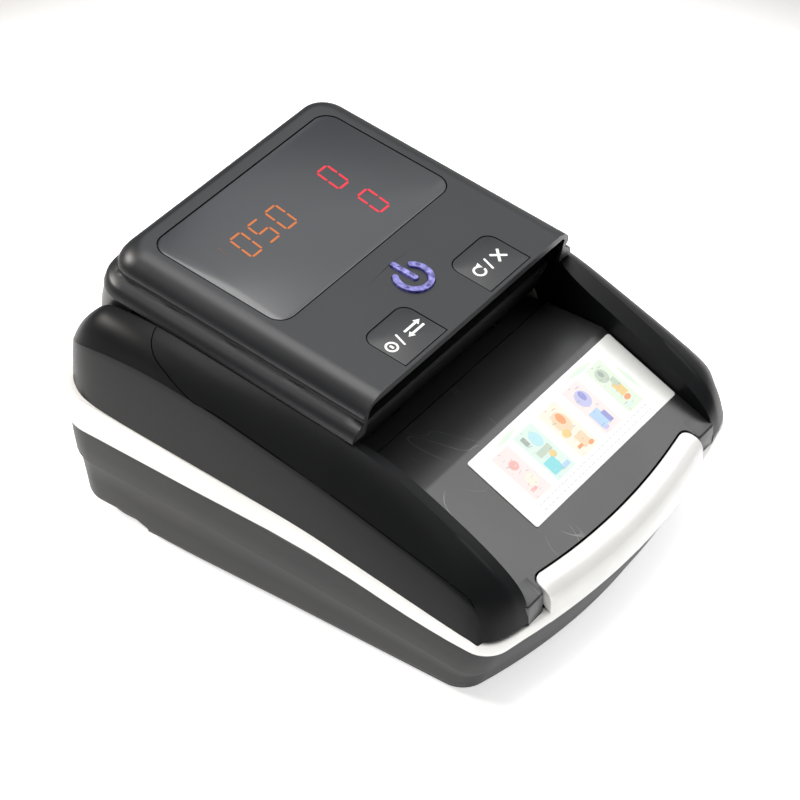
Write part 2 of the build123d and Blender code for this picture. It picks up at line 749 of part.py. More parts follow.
def build_upper_sensor_board():
    low = head_floor_z + head_floor_thickness
    board = block(-40, 40, 2.0, 18.0, low, low + 1.6)
    for x in (-27, 0, 27):
        board += block(x - 3, x + 3, 7.0, 13.0, low + 1.6, low + 3.2)
    return board


def build_magnetic_head():
    shell = block(-5.4, 5.4, 20.6, 29.4, head_floor_z + 0.2, head_floor_z + 8.0)
    return fillet(shell.edges().filter_by(Axis.X).sort_by(Axis.Z)[:2], 1.6)


def build_hinge_pins():
    pins = []
    for side in (-1, 1):
        pin = rod(hinge_pin_radius, 42.0, hinge_pin_end, hinge_y, hinge_z)
        pins.append(pin if side > 0 else mirror(pin, about=Plane.YZ))
    return group(pins)


def build_nodes():
    nodes = {
        "base_shell": cut_rear_ports(build_base_shell()),
        "battery_door": build_battery_door(),
        "battery_pack": build_battery_pack(),
        "mid_frame": build_mid_frame(),
        "upper_case": build_upper_case(),
        "shoulder_left": build_shoulder(-1),
        "shoulder_right": build_shoulder(1),
        "feed_tray": build_feed_tray(),
        "tray_label": build_tray_label(),
        "lower_bed": build_lower_bed(),
        "side_plate_left": build_side_plate(-1),
        "side_plate_right": build_side_plate(1),
        "shaft_bearings": build_bearings(),
        "front_drive_roller": build_drive_roller(front_shaft),
        "front_drive_tyres": build_tyres(front_shaft),
        "front_pulley": build_pulley(front_shaft, roller_pulley_radius, shaft_radius),
        "rear_drive_roller": build_drive_roller(rear_shaft),
        "rear_drive_tyres": build_tyres(rear_shaft),
        "rear_pulley": build_pulley(rear_shaft, roller_pulley_radius, shaft_radius),
        "encoder_disc": build_encoder_disc(),
        "drive_belt": build_belt(),
        "drive_motor": build_motor(),
        "motor_pulley": build_motor_pulley(),
        "sensor_windows": build_sensor_windows(),
        "lower_sensor_board": build_lower_sensor_board(),
        "main_board": build_main_board(),
        "buzzer": build_buzzer(),
        "dc_inlet": build_dc_inlet(),
        "update_port": build_update_port(),
        "rubber_feet": build_feet(),
        "case_screws": build_screws(),
        "head_cover": build_head_cover(),
        "head_base": build_head_base(),
        "display_window": build_display_window(),
        "display_board": build_display_board(),
        "digit_modules": build_digit_modules(),
        "key_switches": build_key_switches(),
        "key_board": build_key_board(),
        "key_left": build_key(-1),
        "key_right": build_key(1),
        "power_button": build_power_button(),
        "front_idler": build_idler(front_shaft),
        "rear_idler": build_idler(rear_shaft),
        "idler_brackets": build_idler_brackets(),
        "upper_sensor_board": build_upper_sensor_board(),
        "magnetic_head": build_magnetic_head(),
        "hinge_pins": build_hinge_pins(),
    }
    for node, shape in nodes.items():
        write(node, shape)


build_nodes()
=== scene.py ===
import bmesh
import bpy
import json
import math
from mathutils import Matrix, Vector


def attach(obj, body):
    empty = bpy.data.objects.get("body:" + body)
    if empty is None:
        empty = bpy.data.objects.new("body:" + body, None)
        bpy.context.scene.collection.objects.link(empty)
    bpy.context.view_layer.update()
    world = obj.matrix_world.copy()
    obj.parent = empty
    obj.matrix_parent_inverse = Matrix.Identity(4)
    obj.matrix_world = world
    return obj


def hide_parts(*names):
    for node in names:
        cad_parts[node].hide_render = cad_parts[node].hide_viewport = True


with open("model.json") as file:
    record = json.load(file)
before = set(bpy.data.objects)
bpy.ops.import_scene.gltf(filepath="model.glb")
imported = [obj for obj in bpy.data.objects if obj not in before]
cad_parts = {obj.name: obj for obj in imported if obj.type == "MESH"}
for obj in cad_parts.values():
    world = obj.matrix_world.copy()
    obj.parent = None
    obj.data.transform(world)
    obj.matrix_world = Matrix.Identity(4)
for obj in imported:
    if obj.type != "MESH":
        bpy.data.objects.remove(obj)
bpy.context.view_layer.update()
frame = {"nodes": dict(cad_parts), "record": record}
mm = 0.001
print("frame loaded:", len(frame["nodes"]), "nodes")


# small helpers

def deselectAll():
    if bpy.context.object and bpy.context.object.mode != "OBJECT":
        bpy.ops.object.mode_set(mode="OBJECT")
    bpy.ops.object.select_all(action="DESELECT")


def makeActive(piece):
    deselectAll()
    piece.select_set(True)
    bpy.context.view_layer.objects.active = piece


def editMode(piece):
    makeActive(piece)
    bpy.ops.object.mode_set(mode="EDIT")
    bpy.ops.mesh.select_all(action="DESELECT")


def objectMode():
    bpy.ops.object.mode_set(mode="OBJECT")


def pick(piece, what, test):
    # selects verts, edges or faces of the piece in edit mode by their place (mm) and, for faces, normal
    bm = bmesh.from_edit_mesh(piece.data)
    if what == "verts":
        for v in bm.verts:
            v.select = test(v.co / mm)
    if what == "edges":
        for e in bm.edges:
            e.select = test((e.verts[0].co + e.verts[1].co) / 2 / mm, e)
    if what == "faces":
        for f in bm.faces:
            f.select = test(f.calc_center_median() / mm, f.normal)
    bm.select_flush_mode()
    bmesh.update_edit_mesh(piece.data)


def applyModifiers(piece):
    makeActive(piece)
    for modifier in list(piece.modifiers):
        bpy.ops.object.modifier_apply(modifier=modifier.name)


def freeze(piece):
    makeActive(piece)
    bpy.ops.object.transform_apply(location=True, rotation=True, scale=True)


def recalculate(piece):
    editMode(piece)
    bpy.ops.mesh.select_all(action="SELECT")
    bpy.ops.mesh.remove_doubles(threshold=0.02 * mm)
    bpy.ops.mesh.normals_make_consistent(inside=False)
    objectMode()


def faceTowards(piece, direction):
    # flips an open skin whose faces look mostly against the direction
    aim = Vector(direction)
    if sum(face.normal.dot(aim) * face.area for face in piece.data.polygons) < 0:
        editMode(piece)
        bpy.ops.mesh.select_all(action="SELECT")
        bpy.ops.mesh.flip_normals()
        objectMode()


def bevelEdges(piece, width, segments=2, angle=30):
    bevel = piece.modifiers.new("edges", "BEVEL")
    bevel.width = width * mm
    bevel.segments = segments
    bevel.limit_method = "ANGLE"
    bevel.angle_limit = math.radians(angle)
    bevel.harden_normals = False
    applyModifiers(piece)


def smoothByAngle(piece, angle=35):
    makeActive(piece)
    bpy.ops.object.shade_smooth_by_angle(angle=math.radians(angle))


def evenNormals(piece):
    # keeps the large flats flat beside small bevels
    even = piece.modifiers.new("even normals", "WEIGHTED_NORMAL")
    even.keep_sharp = True
    applyModifiers(piece)


def thicken(piece, thickness):
    wall = piece.modifiers.new("wall", "SOLIDIFY")
    wall.thickness = thickness * mm
    wall.offset = -1
    wall.use_even_offset = False
    applyModifiers(piece)


def subdivide(piece, levels):
    surface = piece.modifiers.new("surface", "SUBSURF")
    surface.levels = levels
    surface.render_levels = levels
    applyModifiers(piece)


def cut(piece, cutter):
    # takes the cutter's shape out of the piece and drops the cutter
    step = piece.modifiers.new("cut", "BOOLEAN")
    step.operation = "DIFFERENCE"
    step.solver = "EXACT"
    step.object = cutter
    applyModifiers(piece)
    bpy.data.objects.remove(cutter)


def joinPieces(name, parts):
    deselectAll()
    for part in parts:
        part.select_set(True)
    bpy.context.view_layer.objects.active = parts[0]
    if len(parts) > 1:
        bpy.ops.object.join()
    parts[0].name = name
    parts[0].data.name = name
    return parts[0]


def placedGrid(name, rows):
    # a grid primitive whose rows are laid on the given points (mm)
    deselectAll()
    bpy.ops.mesh.primitive_grid_add(x_subdivisions=len(rows[0]) - 1, y_subdivisions=len(rows) - 1, size=1)
    piece = bpy.context.object
    piece.name = name
    piece.data.name = name
    points = [p for row in rows for p in row]
    for vertex, point in zip(piece.data.vertices, points):
        vertex.co = Vector(point) * mm
    return piece


def plate(name, halfX, halfY, centre, thickness, cornerFront=0.0, cornerBack=0.0, segments=6):
    # a flat plate with rounded corners: a plane, its corners bevelled, then extruded upwards
    deselectAll()
    bpy.ops.mesh.primitive_plane_add(size=2, location=(0, 0, 0))
    piece = bpy.context.object
    piece.name = name
    piece.data.name = name
    piece.scale = (halfX * mm, halfY * mm, 1)
    freeze(piece)
    editMode(piece)
    for corner, front in ((cornerFront, True), (cornerBack, False)):
        if corner > 0:
            pick(piece, "verts",
                lambda p: abs(abs(p.x) - halfX) < 0.01 and abs(p.y - (-halfY if front else halfY)) < 0.01)
            bpy.ops.mesh.bevel(offset=corner * mm, segments=segments, affect="VERTICES")
    bpy.ops.mesh.select_all(action="SELECT")
    bpy.ops.mesh.extrude_region_move(TRANSFORM_OT_translate={"value": (0, 0, thickness * mm)})
    bpy.ops.mesh.select_all(action="SELECT")
    bpy.ops.mesh.normals_make_consistent(inside=False)
    bpy.ops.transform.translate(value=Vector(centre) * mm)
    objectMode()
    return piece


def mirrored(piece):
    # adds the other half across the middle plane and closes it on that plane
    other = piece.modifiers.new("other half", "MIRROR")
    other.use_axis = (True, False, False)
    other.use_clip = True
    other.merge_threshold = 0.02 * mm
    applyModifiers(piece)
    recalculate(piece)
    return piece


def finish(piece, body, slotName, material, *nodes):
    # material on, riding, and standing for the nodes
    if material is not None:
        piece.data.materials.clear()
        piece.data.materials.append(material)
    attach(piece, body)
    if nodes:
        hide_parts(*nodes)
    return piece


# materials

def linear(hexColour):
    # sRGB hex to linear rgba
    value = hexColour.lstrip("#")
    channels = [int(value[i:i + 2], 16) / 255 for i in (0, 2, 4)]
    return [c / 12.92 if c <= 0.04045 else ((c + 0.055) / 1.055) ** 2.4 for c in channels] + [1.0]


def addNode(tree, kind, settings=None, links=None):
    # one node with its settings, and its inputs linked from other nodes' outputs
    node = tree.nodes.new(kind)
    for key, value in (settings or {}).items():
        if key in node.inputs:
            node.inputs[key].default_value = value
        else:
            setattr(node, key, value)
    for key, source in (links or {}).items():
        tree.links.new(source, node.inputs[key])
    return node


def newMaterial(name, shaderSettings):
    material = bpy.data.materials.new(name)
    material.use_nodes = True
    tree = material.node_tree
    tree.nodes.clear()
    shader = addNode(tree, "ShaderNodeBsdfPrincipled", shaderSettings)
    addNode(tree, "ShaderNodeOutputMaterial", None, {"Surface": shader.outputs["BSDF"]})
    place = addNode(tree, "ShaderNodeTexCoord")
    return material, tree, shader, place.outputs["Object"]


def mouldedPlastic(name, colour, darker, roughness, grainMm, grainDepth, patchMm=18, spread=0.08, extra=None):
    # injection-moulded ABS: a fine eroded grain in the tool, slight sheen changes where it is handled
    settings = {"Base Color": linear(colour), "Roughness": roughness, "IOR": 1.52, "Specular IOR Level": 0.5}
    settings.update(extra or {})
    material, tree, shader, place = newMaterial(name, settings)
    patches = addNode(tree, "ShaderNodeTexNoise", {"Scale": 1000 / patchMm, "Detail": 3.0}, {"Vector": place})
    tone = addNode(tree, "ShaderNodeValToRGB", None, {"Fac": patches.outputs["Fac"]})
    tone.color_ramp.elements[0].position = 0.35
    tone.color_ramp.elements[1].position = 0.7
    tone.color_ramp.elements[0].color = linear(darker)
    tone.color_ramp.elements[1].color = linear(colour)
    tree.links.new(tone.outputs["Color"], shader.inputs["Base Color"])
    sheen = addNode(tree, "ShaderNodeMapRange", {"To Min": roughness - spread, "To Max": roughness + spread},
        {"Value": patches.outputs["Fac"]})
    tree.links.new(sheen.outputs["Result"], shader.inputs["Roughness"])
    grain = addNode(tree, "ShaderNodeTexNoise", {"Scale": 1000 / grainMm, "Detail": 2.0, "Roughness": 0.6},
        {"Vector": place})
    bump = addNode(tree, "ShaderNodeBump", {"Strength": grainDepth, "Distance": 0.00005},
        {"Height": grain.outputs["Fac"]})
    tree.links.new(bump.outputs["Normal"], shader.inputs["Normal"])
    return material


def metalFinish(name, colour, roughness, strokeMm, stretch=(1, 1, 1)):
    # drawn or machined metal: fine strokes along the working direction
    material, tree, shader, place = newMaterial(name,
        {"Base Color": linear(colour), "Metallic": 1.0, "Roughness": roughness})
    turned = addNode(tree, "ShaderNodeMapping", {"Scale": stretch}, {"Vector": place})
    strokes = addNode(tree, "ShaderNodeTexNoise", {"Scale": 1000 / strokeMm, "Detail": 4.0},
        {"Vector": turned.outputs["Vector"]})
    sheen = addNode(tree, "ShaderNodeMapRange", {"To Min": roughness - 0.08, "To Max": roughness + 0.1},
        {"Value": strokes.outputs["Fac"]})
    tree.links.new(sheen.outputs["Result"], shader.inputs["Roughness"])
    bump = addNode(tree, "ShaderNodeBump", {"Strength": 0.15, "Distance": 0.00003},
        {"Height": strokes.outputs["Fac"]})
    tree.links.new(bump.outputs["Normal"], shader.inputs["Normal"])
    return material


def litInk(name, colour, glow, strength):
    # light-emitting segments seen through tinted acrylic
    material, tree, shader, place = newMaterial(name,
        {"Base Color": linear(colour), "Roughness": 0.3, "Emission Color": linear(glow),
            "Emission Strength": strength})
    unevenness = addNode(tree, "ShaderNodeTexNoise", {"Scale": 1000 / 1.6}, {"Vector": place})
    tone = addNode(tree, "ShaderNodeValToRGB", None, {"Fac": unevenness.outputs["Fac"]})
    tone.color_ramp.elements[0].color = linear(colour)
    tone.color_ramp.elements[1].color = linear(glow)
    tree.links.new(tone.outputs["Color"], shader.inputs["Emission Color"])
    return material


def printInk(name, colour, roughness=0.35):
    # screen-printed ink film: slightly mottled
    material, tree, shader, place = newMaterial(name, {"Base Color": linear(colour), "Roughness": roughness})
    mottle = addNode(tree, "ShaderNodeTexNoise", {"Scale": 1000 / 0.9, "Detail": 2.0}, {"Vector": place})
    sheen = addNode(tree, "ShaderNodeMapRange", {"To Min": roughness - 0.05, "To Max": roughness + 0.12},
        {"Value": mottle.outputs["Fac"]})
    tree.links.new(sheen.outputs["Result"], shader.inputs["Roughness"])
    return material


def scratchedPlastic(name, colour, darker, roughness, scratchColour):
    # moulded ABS with pale hairline scuffs from notes and coins sliding over it
    material = mouldedPlastic(name, colour, darker, roughness, 0.5, 0.25, 22, 0.05,
        {"Specular IOR Level": 0.75})
    tree = material.node_tree
    shader = [n for n in tree.nodes if n.type == "BSDF_PRINCIPLED"][0]
    place = [n for n in tree.nodes if n.type == "TEX_COORD"][0].outputs["Object"]
    masks = []
    for turn, width in ((0.5, 0.012), (2.2, 0.010)):
        turned = addNode(tree, "ShaderNodeMapping",
            {"Rotation": (0.3, 0.2, turn), "Scale": (1.0, 0.24, 1.0)}, {"Vector": place})
        warped = addNode(tree, "ShaderNodeTexNoise", {"Scale": 1000 / 17, "Detail": 1.0},
            {"Vector": turned.outputs["Vector"]})
        line = addNode(tree, "ShaderNodeMath", {"operation": "COMPARE"}, {0: warped.outputs["Fac"]})
        line.inputs[1].default_value = 0.5
        line.inputs[2].default_value = width * 0.16
        masks.append(line.outputs["Value"])
    both = addNode(tree, "ShaderNodeMath", {"operation": "MAXIMUM"}, {0: masks[0], 1: masks[1]})
    where = addNode(tree, "ShaderNodeTexNoise", {"Scale": 1000 / 15, "Detail": 1.0}, {"Vector": place})
    patch = addNode(tree, "ShaderNodeMapRange",
        {"From Min": 0.56, "From Max": 0.68, "To Min": 0.0, "To Max": 0.5}, {"Value": where.outputs["Fac"]})
    amount = addNode(tree, "ShaderNodeMath", {"operation": "MULTIPLY"},
        {0: both.outputs["Value"], 1: patch.outputs["Result"]})
    base = shader.inputs["Base Color"].links[0].from_socket
    mixed = addNode(tree, "ShaderNodeMix", {"data_type": "RGBA"})
    tree.links.new(amount.outputs["Value"], mixed.inputs[0])
    tree.links.new(base, mixed.inputs[6])
    mixed.inputs[7].default_value = linear(scratchColour)
    tree.links.new(mixed.outputs[2], shader.inputs["Base Color"])
    return material


materials = {
    "headAbs": mouldedPlastic("satinMouldedAbs", "#1c1e22", "#191b1e", 0.4, 0.35, 0.12, 20, 0.03),
    "shellAbs": mouldedPlastic("shellMouldedAbs", "#1a1b1d", "#18191a", 0.38, 0.35, 0.15, 24, 0.05,
        {"Specular IOR Level": 0.12}),
    "baseAbs": mouldedPlastic("baseMouldedAbs", "#1a1b1d", "#18191a", 0.46, 0.5, 0.25, 26, 0.04,
        {"Specular IOR Level": 0.26}),
    "trayAbs": scratchedPlastic("trayMouldedAbs", "#252527", "#222224", 0.36, "#8a8a8a"),
    "paleAbs": mouldedPlastic("glossWhiteAbs", "#f6f6f4", "#efefec", 0.26, 0.8, 0.05, 40, 0.03,
        {"Coat Weight": 0.4, "Coat Roughness": 0.12}),
    "smokedAcrylic": mouldedPlastic("smokedAcrylic", "#212429", "#202328", 0.34, 1.2, 0.03, 30, 0.03,
        {"Coat Weight": 0.6, "Coat Roughness": 0.2}),
    "stickerFilm": mouldedPlastic("printedStickerFilm", "#fbfcfa", "#f4f6f2", 0.3, 1.5, 0.05, 14, 0.04,
        {"Coat Weight": 0.3, "Coat Roughness": 0.15}),
    "symbolLens": mouldedPlastic("violetPolycarbonateLens", "#8f8cd8", "#1e1c60", 0.22, 1.0, 0.05, 1.6, 0.04,
        {"Coat Weight": 0.6, "Emission Color": linear("#4a44b8"), "Emission Strength": 0.12}),
    "innerAbs": mouldedPlastic("innerMouldedAbs", "#0e0e0f", "#0b0b0c", 0.55, 0.5, 0.3),
    # painted shade: near-black and without gloss, for the strips that stand for the shade in the shell's joint and
    # along its ledge
    "seamShade": mouldedPlastic("paintedSeamShade", "#050505", "#040404", 0.95, 0.5, 0.1, 10, 0.02,
        {"Specular IOR Level": 0.0}),
    "steel": metalFinish("drawnSteel", "#b4b6ba", 0.34, 0.4, (0.1, 1, 1)),
    "blackScrew": metalFinish("blackZincSteel", "#5a5b5e", 0.38, 0.3),
    "bronze": metalFinish("sinteredBronze", "#a5793f", 0.42, 0.2),
    "rubber": mouldedPlastic("nitrileRubber", "#161616", "#101010", 0.8, 0.6, 0.5, 6, 0.08),
    "nylon": mouldedPlastic("naturalNylon", "#d8d5c9", "#cfccbf", 0.45, 0.5, 0.15),
    "board": mouldedPlastic("greenSolderMask", "#1a5a32", "#14492a", 0.35, 0.7, 0.25, 4, 0.06),
    "cell": mouldedPlastic("shrinkFilm", "#1c3c86", "#183476", 0.28, 1.0, 0.1),
    "sensorGlass": mouldedPlastic("clearPolycarbonate", "#6f777b", "#5f676b", 0.12, 1.5, 0.03),
    "amber": litInk("amberSegments", "#9a4e14", "#b86a22", 0.55),
    "amberDim": litInk("amberSegmentsFaint", "#5a3420", "#6e4224", 0.3),
    "red": litInk("redSegments", "#b80c24", "#d81830", 0.62),
    "legend": printInk("whitePadPrint", "#f2f3f3"),
}
slotLook = {
    "dark_case": "baseAbs", "light_frame": "paleAbs", "cover_black": "shellAbs", "tray_black": "trayAbs",
    "smoked_window": "smokedAcrylic", "sticker": "stickerFilm", "lit_symbol": "symbolLens",
    "digits": "innerAbs", "board": "board", "steel": "steel", "bronze": "bronze",
    "roller_rubber": "rubber", "foot_rubber": "rubber", "belt_rubber": "rubber",
    "light_nylon": "nylon", "clear_window": "sensorGlass", "cell_wrap": "cell", "screw_steel": "blackScrew",
}
innerNodes = ("head_base", "lower_bed", "dc_inlet")
for row in frame["record"]["subparts"]:
    node = frame["nodes"][row["node"]]
    look = "innerAbs" if row["node"] in innerNodes else slotLook[row["material_slot"]]
    node.data.materials.clear()
    node.data.materials.append(materials[look])
print("materials ready")


# head
# drawn flat with the back edge of the window at y 0, then tilted into place

headPose = {"y": 57.95, "z": 92.7, "tilt": 7.28}


def toHead(piece, lift=0.0):
    piece.location = (0, 0, lift * mm)
    freeze(piece)
    piece.rotation_euler = (math.radians(headPose["tilt"]), 0, 0)
    piece.location = (0, headPose["y"] * mm, headPose["z"] * mm)
    freeze(piece)
    return piece


headCover = {
    "front": -82.4,
    # half width, rear end, corner radius, height of each ring from the flat top down the flank
    "rings": [
        (41.3, 3.2, 5.0, 0.0), (42.9, 4.3, 5.8, -0.12), (44.8, 5.5, 6.8, -0.75), (46.7, 6.7, 7.6, -2.0),
        (48.1, 7.7, 8.2, -3.7), (48.7, 8.3, 8.6, -5.4), (48.4, 8.5, 8.6, -6.5), (47.8, 8.5, 8.6, -7.3),
        (47.9, 8.8, 8.6, -8.0), (49.0, 9.5, 9.0, -8.7), (50.4, 10.2, 9.4, -9.4), (51.3, 10.6, 9.8, -10.4),
        (51.8, 10.9, 10.0, -11.8), (51.95, 11.1, 10.0, -13.1),
    ],
    "wall": 1.7,
}
windowShape = {"halfX": 39.75, "depth": 46.7, "corner": 5.2, "gap": 0.35, "thickness": 1.4}
keyShape = {"inner": 10.5, "outer": 29.3, "back": 66.0, "front": 81.05, "corner": 3.6, "gap": 0.3,
    "thickness": 1.5}
symbolShape = {"y": -61.9, "outer": 6.05, "inner": 4.15, "openHalfAngle": 46, "barLow": -1.4,
    "barHigh": 8.1, "rise": 0.7}


def headRing(half, rear, corner, height, front):
    # open outline: left front, round both rear corners, right front
    left = []
    for step in range(16):
        left.append((-half, front + (rear - corner - front) * step / 15, height))
    for step in range(1, 9):
        angle = math.radians(180 - 90 * step / 8)
        left.append((-half + corner + corner * math.cos(angle), rear - corner + corner * math.sin(angle),
            height))
    left.append((-(half - corner) / 2, rear, height))
    return left + [(0, rear, height)] + [(-x, y, z) for x, y, z in reversed(left)]


def keyPlate(name, side, grow, low, high):
    k = keyShape
    return plate(name, (k["outer"] - k["inner"]) / 2 + grow, (k["front"] - k["back"]) / 2 + grow,
                 (side * (k["outer"] + k["inner"]) / 2, -(k["back"] + k["front"]) / 2, low), high - low,
                 0.25, k["corner"] + grow)


def symbolSolid(name, grow, low, high):
    # the open ring, its ends rounded by drawing the two edges together, and the bar
    s = symbolShape
    mid = (s["outer"] + s["inner"]) / 2
    half = (s["outer"] - s["inner"]) / 2 + grow
    capAngle = math.degrees(half / mid)
    start, sweep = 90 + s["openHalfAngle"], 360 - 2 * s["openHalfAngle"]
    rows = [[], []]
    capTurns = (8, 25, 45, 65, 90)
    places = [(-capAngle * math.cos(math.radians(t)), math.sin(math.radians(t))) for t in capTurns]
    places += [(sweep * step / 30, 1.0) for step in range(1, 30)]
    places += [(sweep + capAngle * math.cos(math.radians(t)), math.sin(math.radians(t)))
        for t in reversed(capTurns)]
    for turn, width in places:
        angle = math.radians(start + turn)
        for row, radius in zip(rows, (mid + half * width, mid - half * width)):
            row.append((radius * math.cos(angle), s["y"] + radius * math.sin(angle), low))
    arc = placedGrid(name, rows)
    editMode(arc)
    bpy.ops.mesh.select_all(action="SELECT")
    bpy.ops.mesh.extrude_region_move(TRANSFORM_OT_translate={"value": (0, 0, (high - low) * mm)})
    objectMode()
    recalculate(arc)
    bar = plate(name + "Bar", half, (s["barHigh"] - s["barLow"]) / 2 + grow,
        (0.15, s["y"] + (s["barHigh"] + s["barLow"]) / 2, low), high - low, half * 0.97, half * 0.97)
    return arc, bar


def coverFront(height):
    # the cover's front end, a little further back down the flank
    return headCover["front"] + (0.0 if height > -1 else 0.25 * min(3, -height / 4))


def buildHeadCover():
    rows = [headRing(half, rear, corner, height, coverFront(height))
        for half, rear, corner, height in headCover["rings"]]
    # the flat top runs in to a ridge line on the middle plane
    top = rows[0]
    for share in (0.5, 0.0):
        rows.insert(0, [(x * share, min(y, -4.0 + (y + 4.0) * share) if y > -4.0 else y, 0.0)
            for x, y, z in top])
    cover = placedGrid("headCover", rows)
    recalculate(cover)
    faceTowards(cover, (0, 0, 1))
    thicken(cover, headCover["wall"])
    w = windowShape
    recess = plate("recess", w["halfX"] + w["gap"], w["depth"] / 2 + w["gap"],
        (0, -w["depth"] / 2 - 0.1, -1.45), 4, w["corner"] + w["gap"], w["corner"] + w["gap"], 10)
    cut(cover, recess)
    for side in (-1, 1):
        cut(cover, keyPlate("keyHole", side, keyShape["gap"], -4, 3))
    arc, bar = symbolSolid("symbolHole", 0.22, -4, 3)
    cut(cover, arc)
    cut(cover, bar)
    bevelEdges(cover, 0.25, 2, 40)
    smoothByAngle(cover, 40)
    evenNormals(cover)
    return toHead(cover)


finish(buildHeadCover(), "head", "cover_black", materials["headAbs"], "head_cover")


def buildHeadNose():
    # the thin turned-down edge along the front of the head and the panel behind it
    nose = plate("headNose", 45.4, 0.75, (0, -81.55, -2.9), 1.6)
    bevelEdges(nose, 0.3, 2, 40)
    panel = plate("headUnderPanel", 46.6, 13, (0, -68.0, -3.4), 0.8)
    ends = []
    for side in (-1, 1):
        # closes the end of the flank at the front
        rows = [[], []]
        for half, rear, corner, height in headCover["rings"]:
            y = coverFront(height) + 0.02
            rows[0].append((side * (half - 0.05), y, height - 0.05))
            rows[1].append((side * min(half - 1.2, 46.2), y, height - 0.05))
        end = placedGrid("flankEnd", rows)
        recalculate(end)
        faceTowards(end, (0, -1, 0))
        thicken(end, 1.0)
        ends.append(end)
    both = joinPieces("headNose", [nose, panel] + ends)
    smoothByAngle(both, 40)
    return toHead(both)


finish(buildHeadNose(), "head", "cover_black", materials["headAbs"])


def buildNeck():
    # the swept back of the head, down to the hinge; seen from behind and at the sides
    rings = [
        (51.3, 10.9, 9.8, -12.6), (51.0, 11.6, 9.6, -16.5), (50.7, 12.2, 9.4, -21.0),
        (50.5, 12.2, 9.2, -24.4), (49.5, 11.2, 8.6, -25.6), (47.6, 9.2, 8.0, -26.0), (46.2, 4.0, 4.0, -26.0),
    ]
    rows = []
    for index, (half, rear, corner, height) in enumerate(rings):
        rows.append(headRing(half, rear, corner, height, -4.0 if index < 4 else -3.0))
    neck = placedGrid("headNeck", rows)
    recalculate(neck)
    thicken(neck, 1.8)
    smoothByAngle(neck, 40)
    return toHead(neck)


finish(buildNeck(), "head", "cover_black", materials["headAbs"])


def buildWindow():
    w = windowShape
    pane = plate("displayWindow", w["halfX"], w["depth"] / 2, (0, -w["depth"] / 2 - 0.1, -w["thickness"]),
        w["thickness"], w["corner"], w["corner"], 12)
    bevelEdges(pane, 0.28, 2, 40)
    smoothByAngle(pane, 30)
    return toHead(pane)


finish(buildWindow(), "head", "smoked_window", materials["smokedAcrylic"], "display_window")

digitShape = {"long": 4.45, "wide": 0.72, "halfWidth": 2.35, "lean": 0.12}
litSegments = {"0": "abcdef", "5": "acdfg", "1": "bc"}


def segmentBar(name, x0, y0, x1, y1, wide):
    # one lit bar with pointed ends: a plane, its two ends drawn to a point
    deselectAll()
    bpy.ops.mesh.primitive_plane_add(size=2)
    bar = bpy.context.object
    bar.name = name
    long = math.hypot(x1 - x0, y1 - y0)
    bar.scale = (long / 2 * mm, wide / 2 * mm, 1)
    freeze(bar)
    editMode(bar)
    bpy.ops.mesh.select_all(action="SELECT")
    bpy.ops.mesh.bevel(offset=wide * 0.42 * mm, segments=1, affect="VERTICES")
    bpy.ops.mesh.select_all(action="SELECT")
    bpy.ops.mesh.extrude_region_move(TRANSFORM_OT_translate={"value": (0, 0, 0.02 * mm)})
    bpy.ops.mesh.select_all(action="SELECT")
    bpy.ops.mesh.normals_make_consistent(inside=False)
    objectMode()
    bar.rotation_euler = (0, 0, math.atan2(y1 - y0, x1 - x0))
    bar.location = ((x0 + x1) / 2 * mm, (y0 + y1) / 2 * mm, 0)
    freeze(bar)
    return bar


def digit(name, figure, x, y, scale=1.0):
    h, l = digitShape["halfWidth"] * scale, digitShape["long"] * scale
    wide = digitShape["wide"] * scale
    ends = {"a": (-h, l, h, l), "g": (-h, 0, h, 0), "d": (-h, -l, h, -l), "f": (-h, 0, -h, l),
        "b": (h, 0, h, l), "e": (-h, -l, -h, 0), "c": (h, -l, h, 0)}
    bars = []
    for segment in litSegments[figure]:
        x0, y0, x1, y1 = ends[segment]
        trim = 0.3 * scale
        if y0 == y1:
            x0, x1 = x0 + trim, x1 - trim
        else:
            y0, y1 = y0 + trim, y1 - trim
        lean = digitShape["lean"]
        bars.append(segmentBar(name, x + x0 + y0 * lean, y + y0, x + x1 + y1 * lean, y + y1, wide))
    return bars


def buildDigits():
    amber = []
    for figure, x in (("0", -21.2), ("5", -13.4), ("0", -5.5)):
        amber += digit("amber", figure, x, -19.4)
    amber = joinPieces("amberDigits", amber)
    faint = joinPieces("faintDigit", digit("faint", "1", -29.0, -16.4, 0.45))
    red = joinPieces("redDigits", digit("red", "0", 18.1, -19.7) + digit("red", "0", 18.1, -34.3))
    for piece, look in ((amber, "amber"), (faint, "amberDim"), (red, "red")):
        finish(toHead(piece, 0.012), "head", "digits", materials[look])


buildDigits()


def buildKey(side, name, body, node):
    k = keyShape
    key = keyPlate(name, side, 0, -k["thickness"], 0.0)
    bevelEdges(key, 0.18, 2, 40)
    smoothByAngle(key, 30)
    finish(toHead(key), body, "cover_black", materials["headAbs"], node)


buildKey(-1, "keyCapLeft", "left_key", "key_left")
buildKey(1, "keyCapRight", "right_key", "key_right")


def ringMark(name, x, y, outer, inner, start=0, sweep=360, steps=24):
    rows = [[], []]
    for step in range(steps + 1):
        angle = math.radians(start + sweep * step / steps)
        for row, radius in zip(rows, (outer, inner)):
            row.append((x + radius * math.cos(angle), y + radius * math.sin(angle), 0))
    ring = placedGrid(name, rows)
    thicken(ring, 0.03)
    return ring


def arrowMark(name, x, y, size, turn):
    # a flat triangle: a three-sided circle, pointed along turn
    deselectAll()
    bpy.ops.mesh.primitive_cylinder_add(vertices=3, radius=size * mm, depth=0.03 * mm,
        location=(x * mm, y * mm, 0), rotation=(0, 0, math.radians(turn)))
    mark = bpy.context.object
    mark.name = name
    freeze(mark)
    return mark


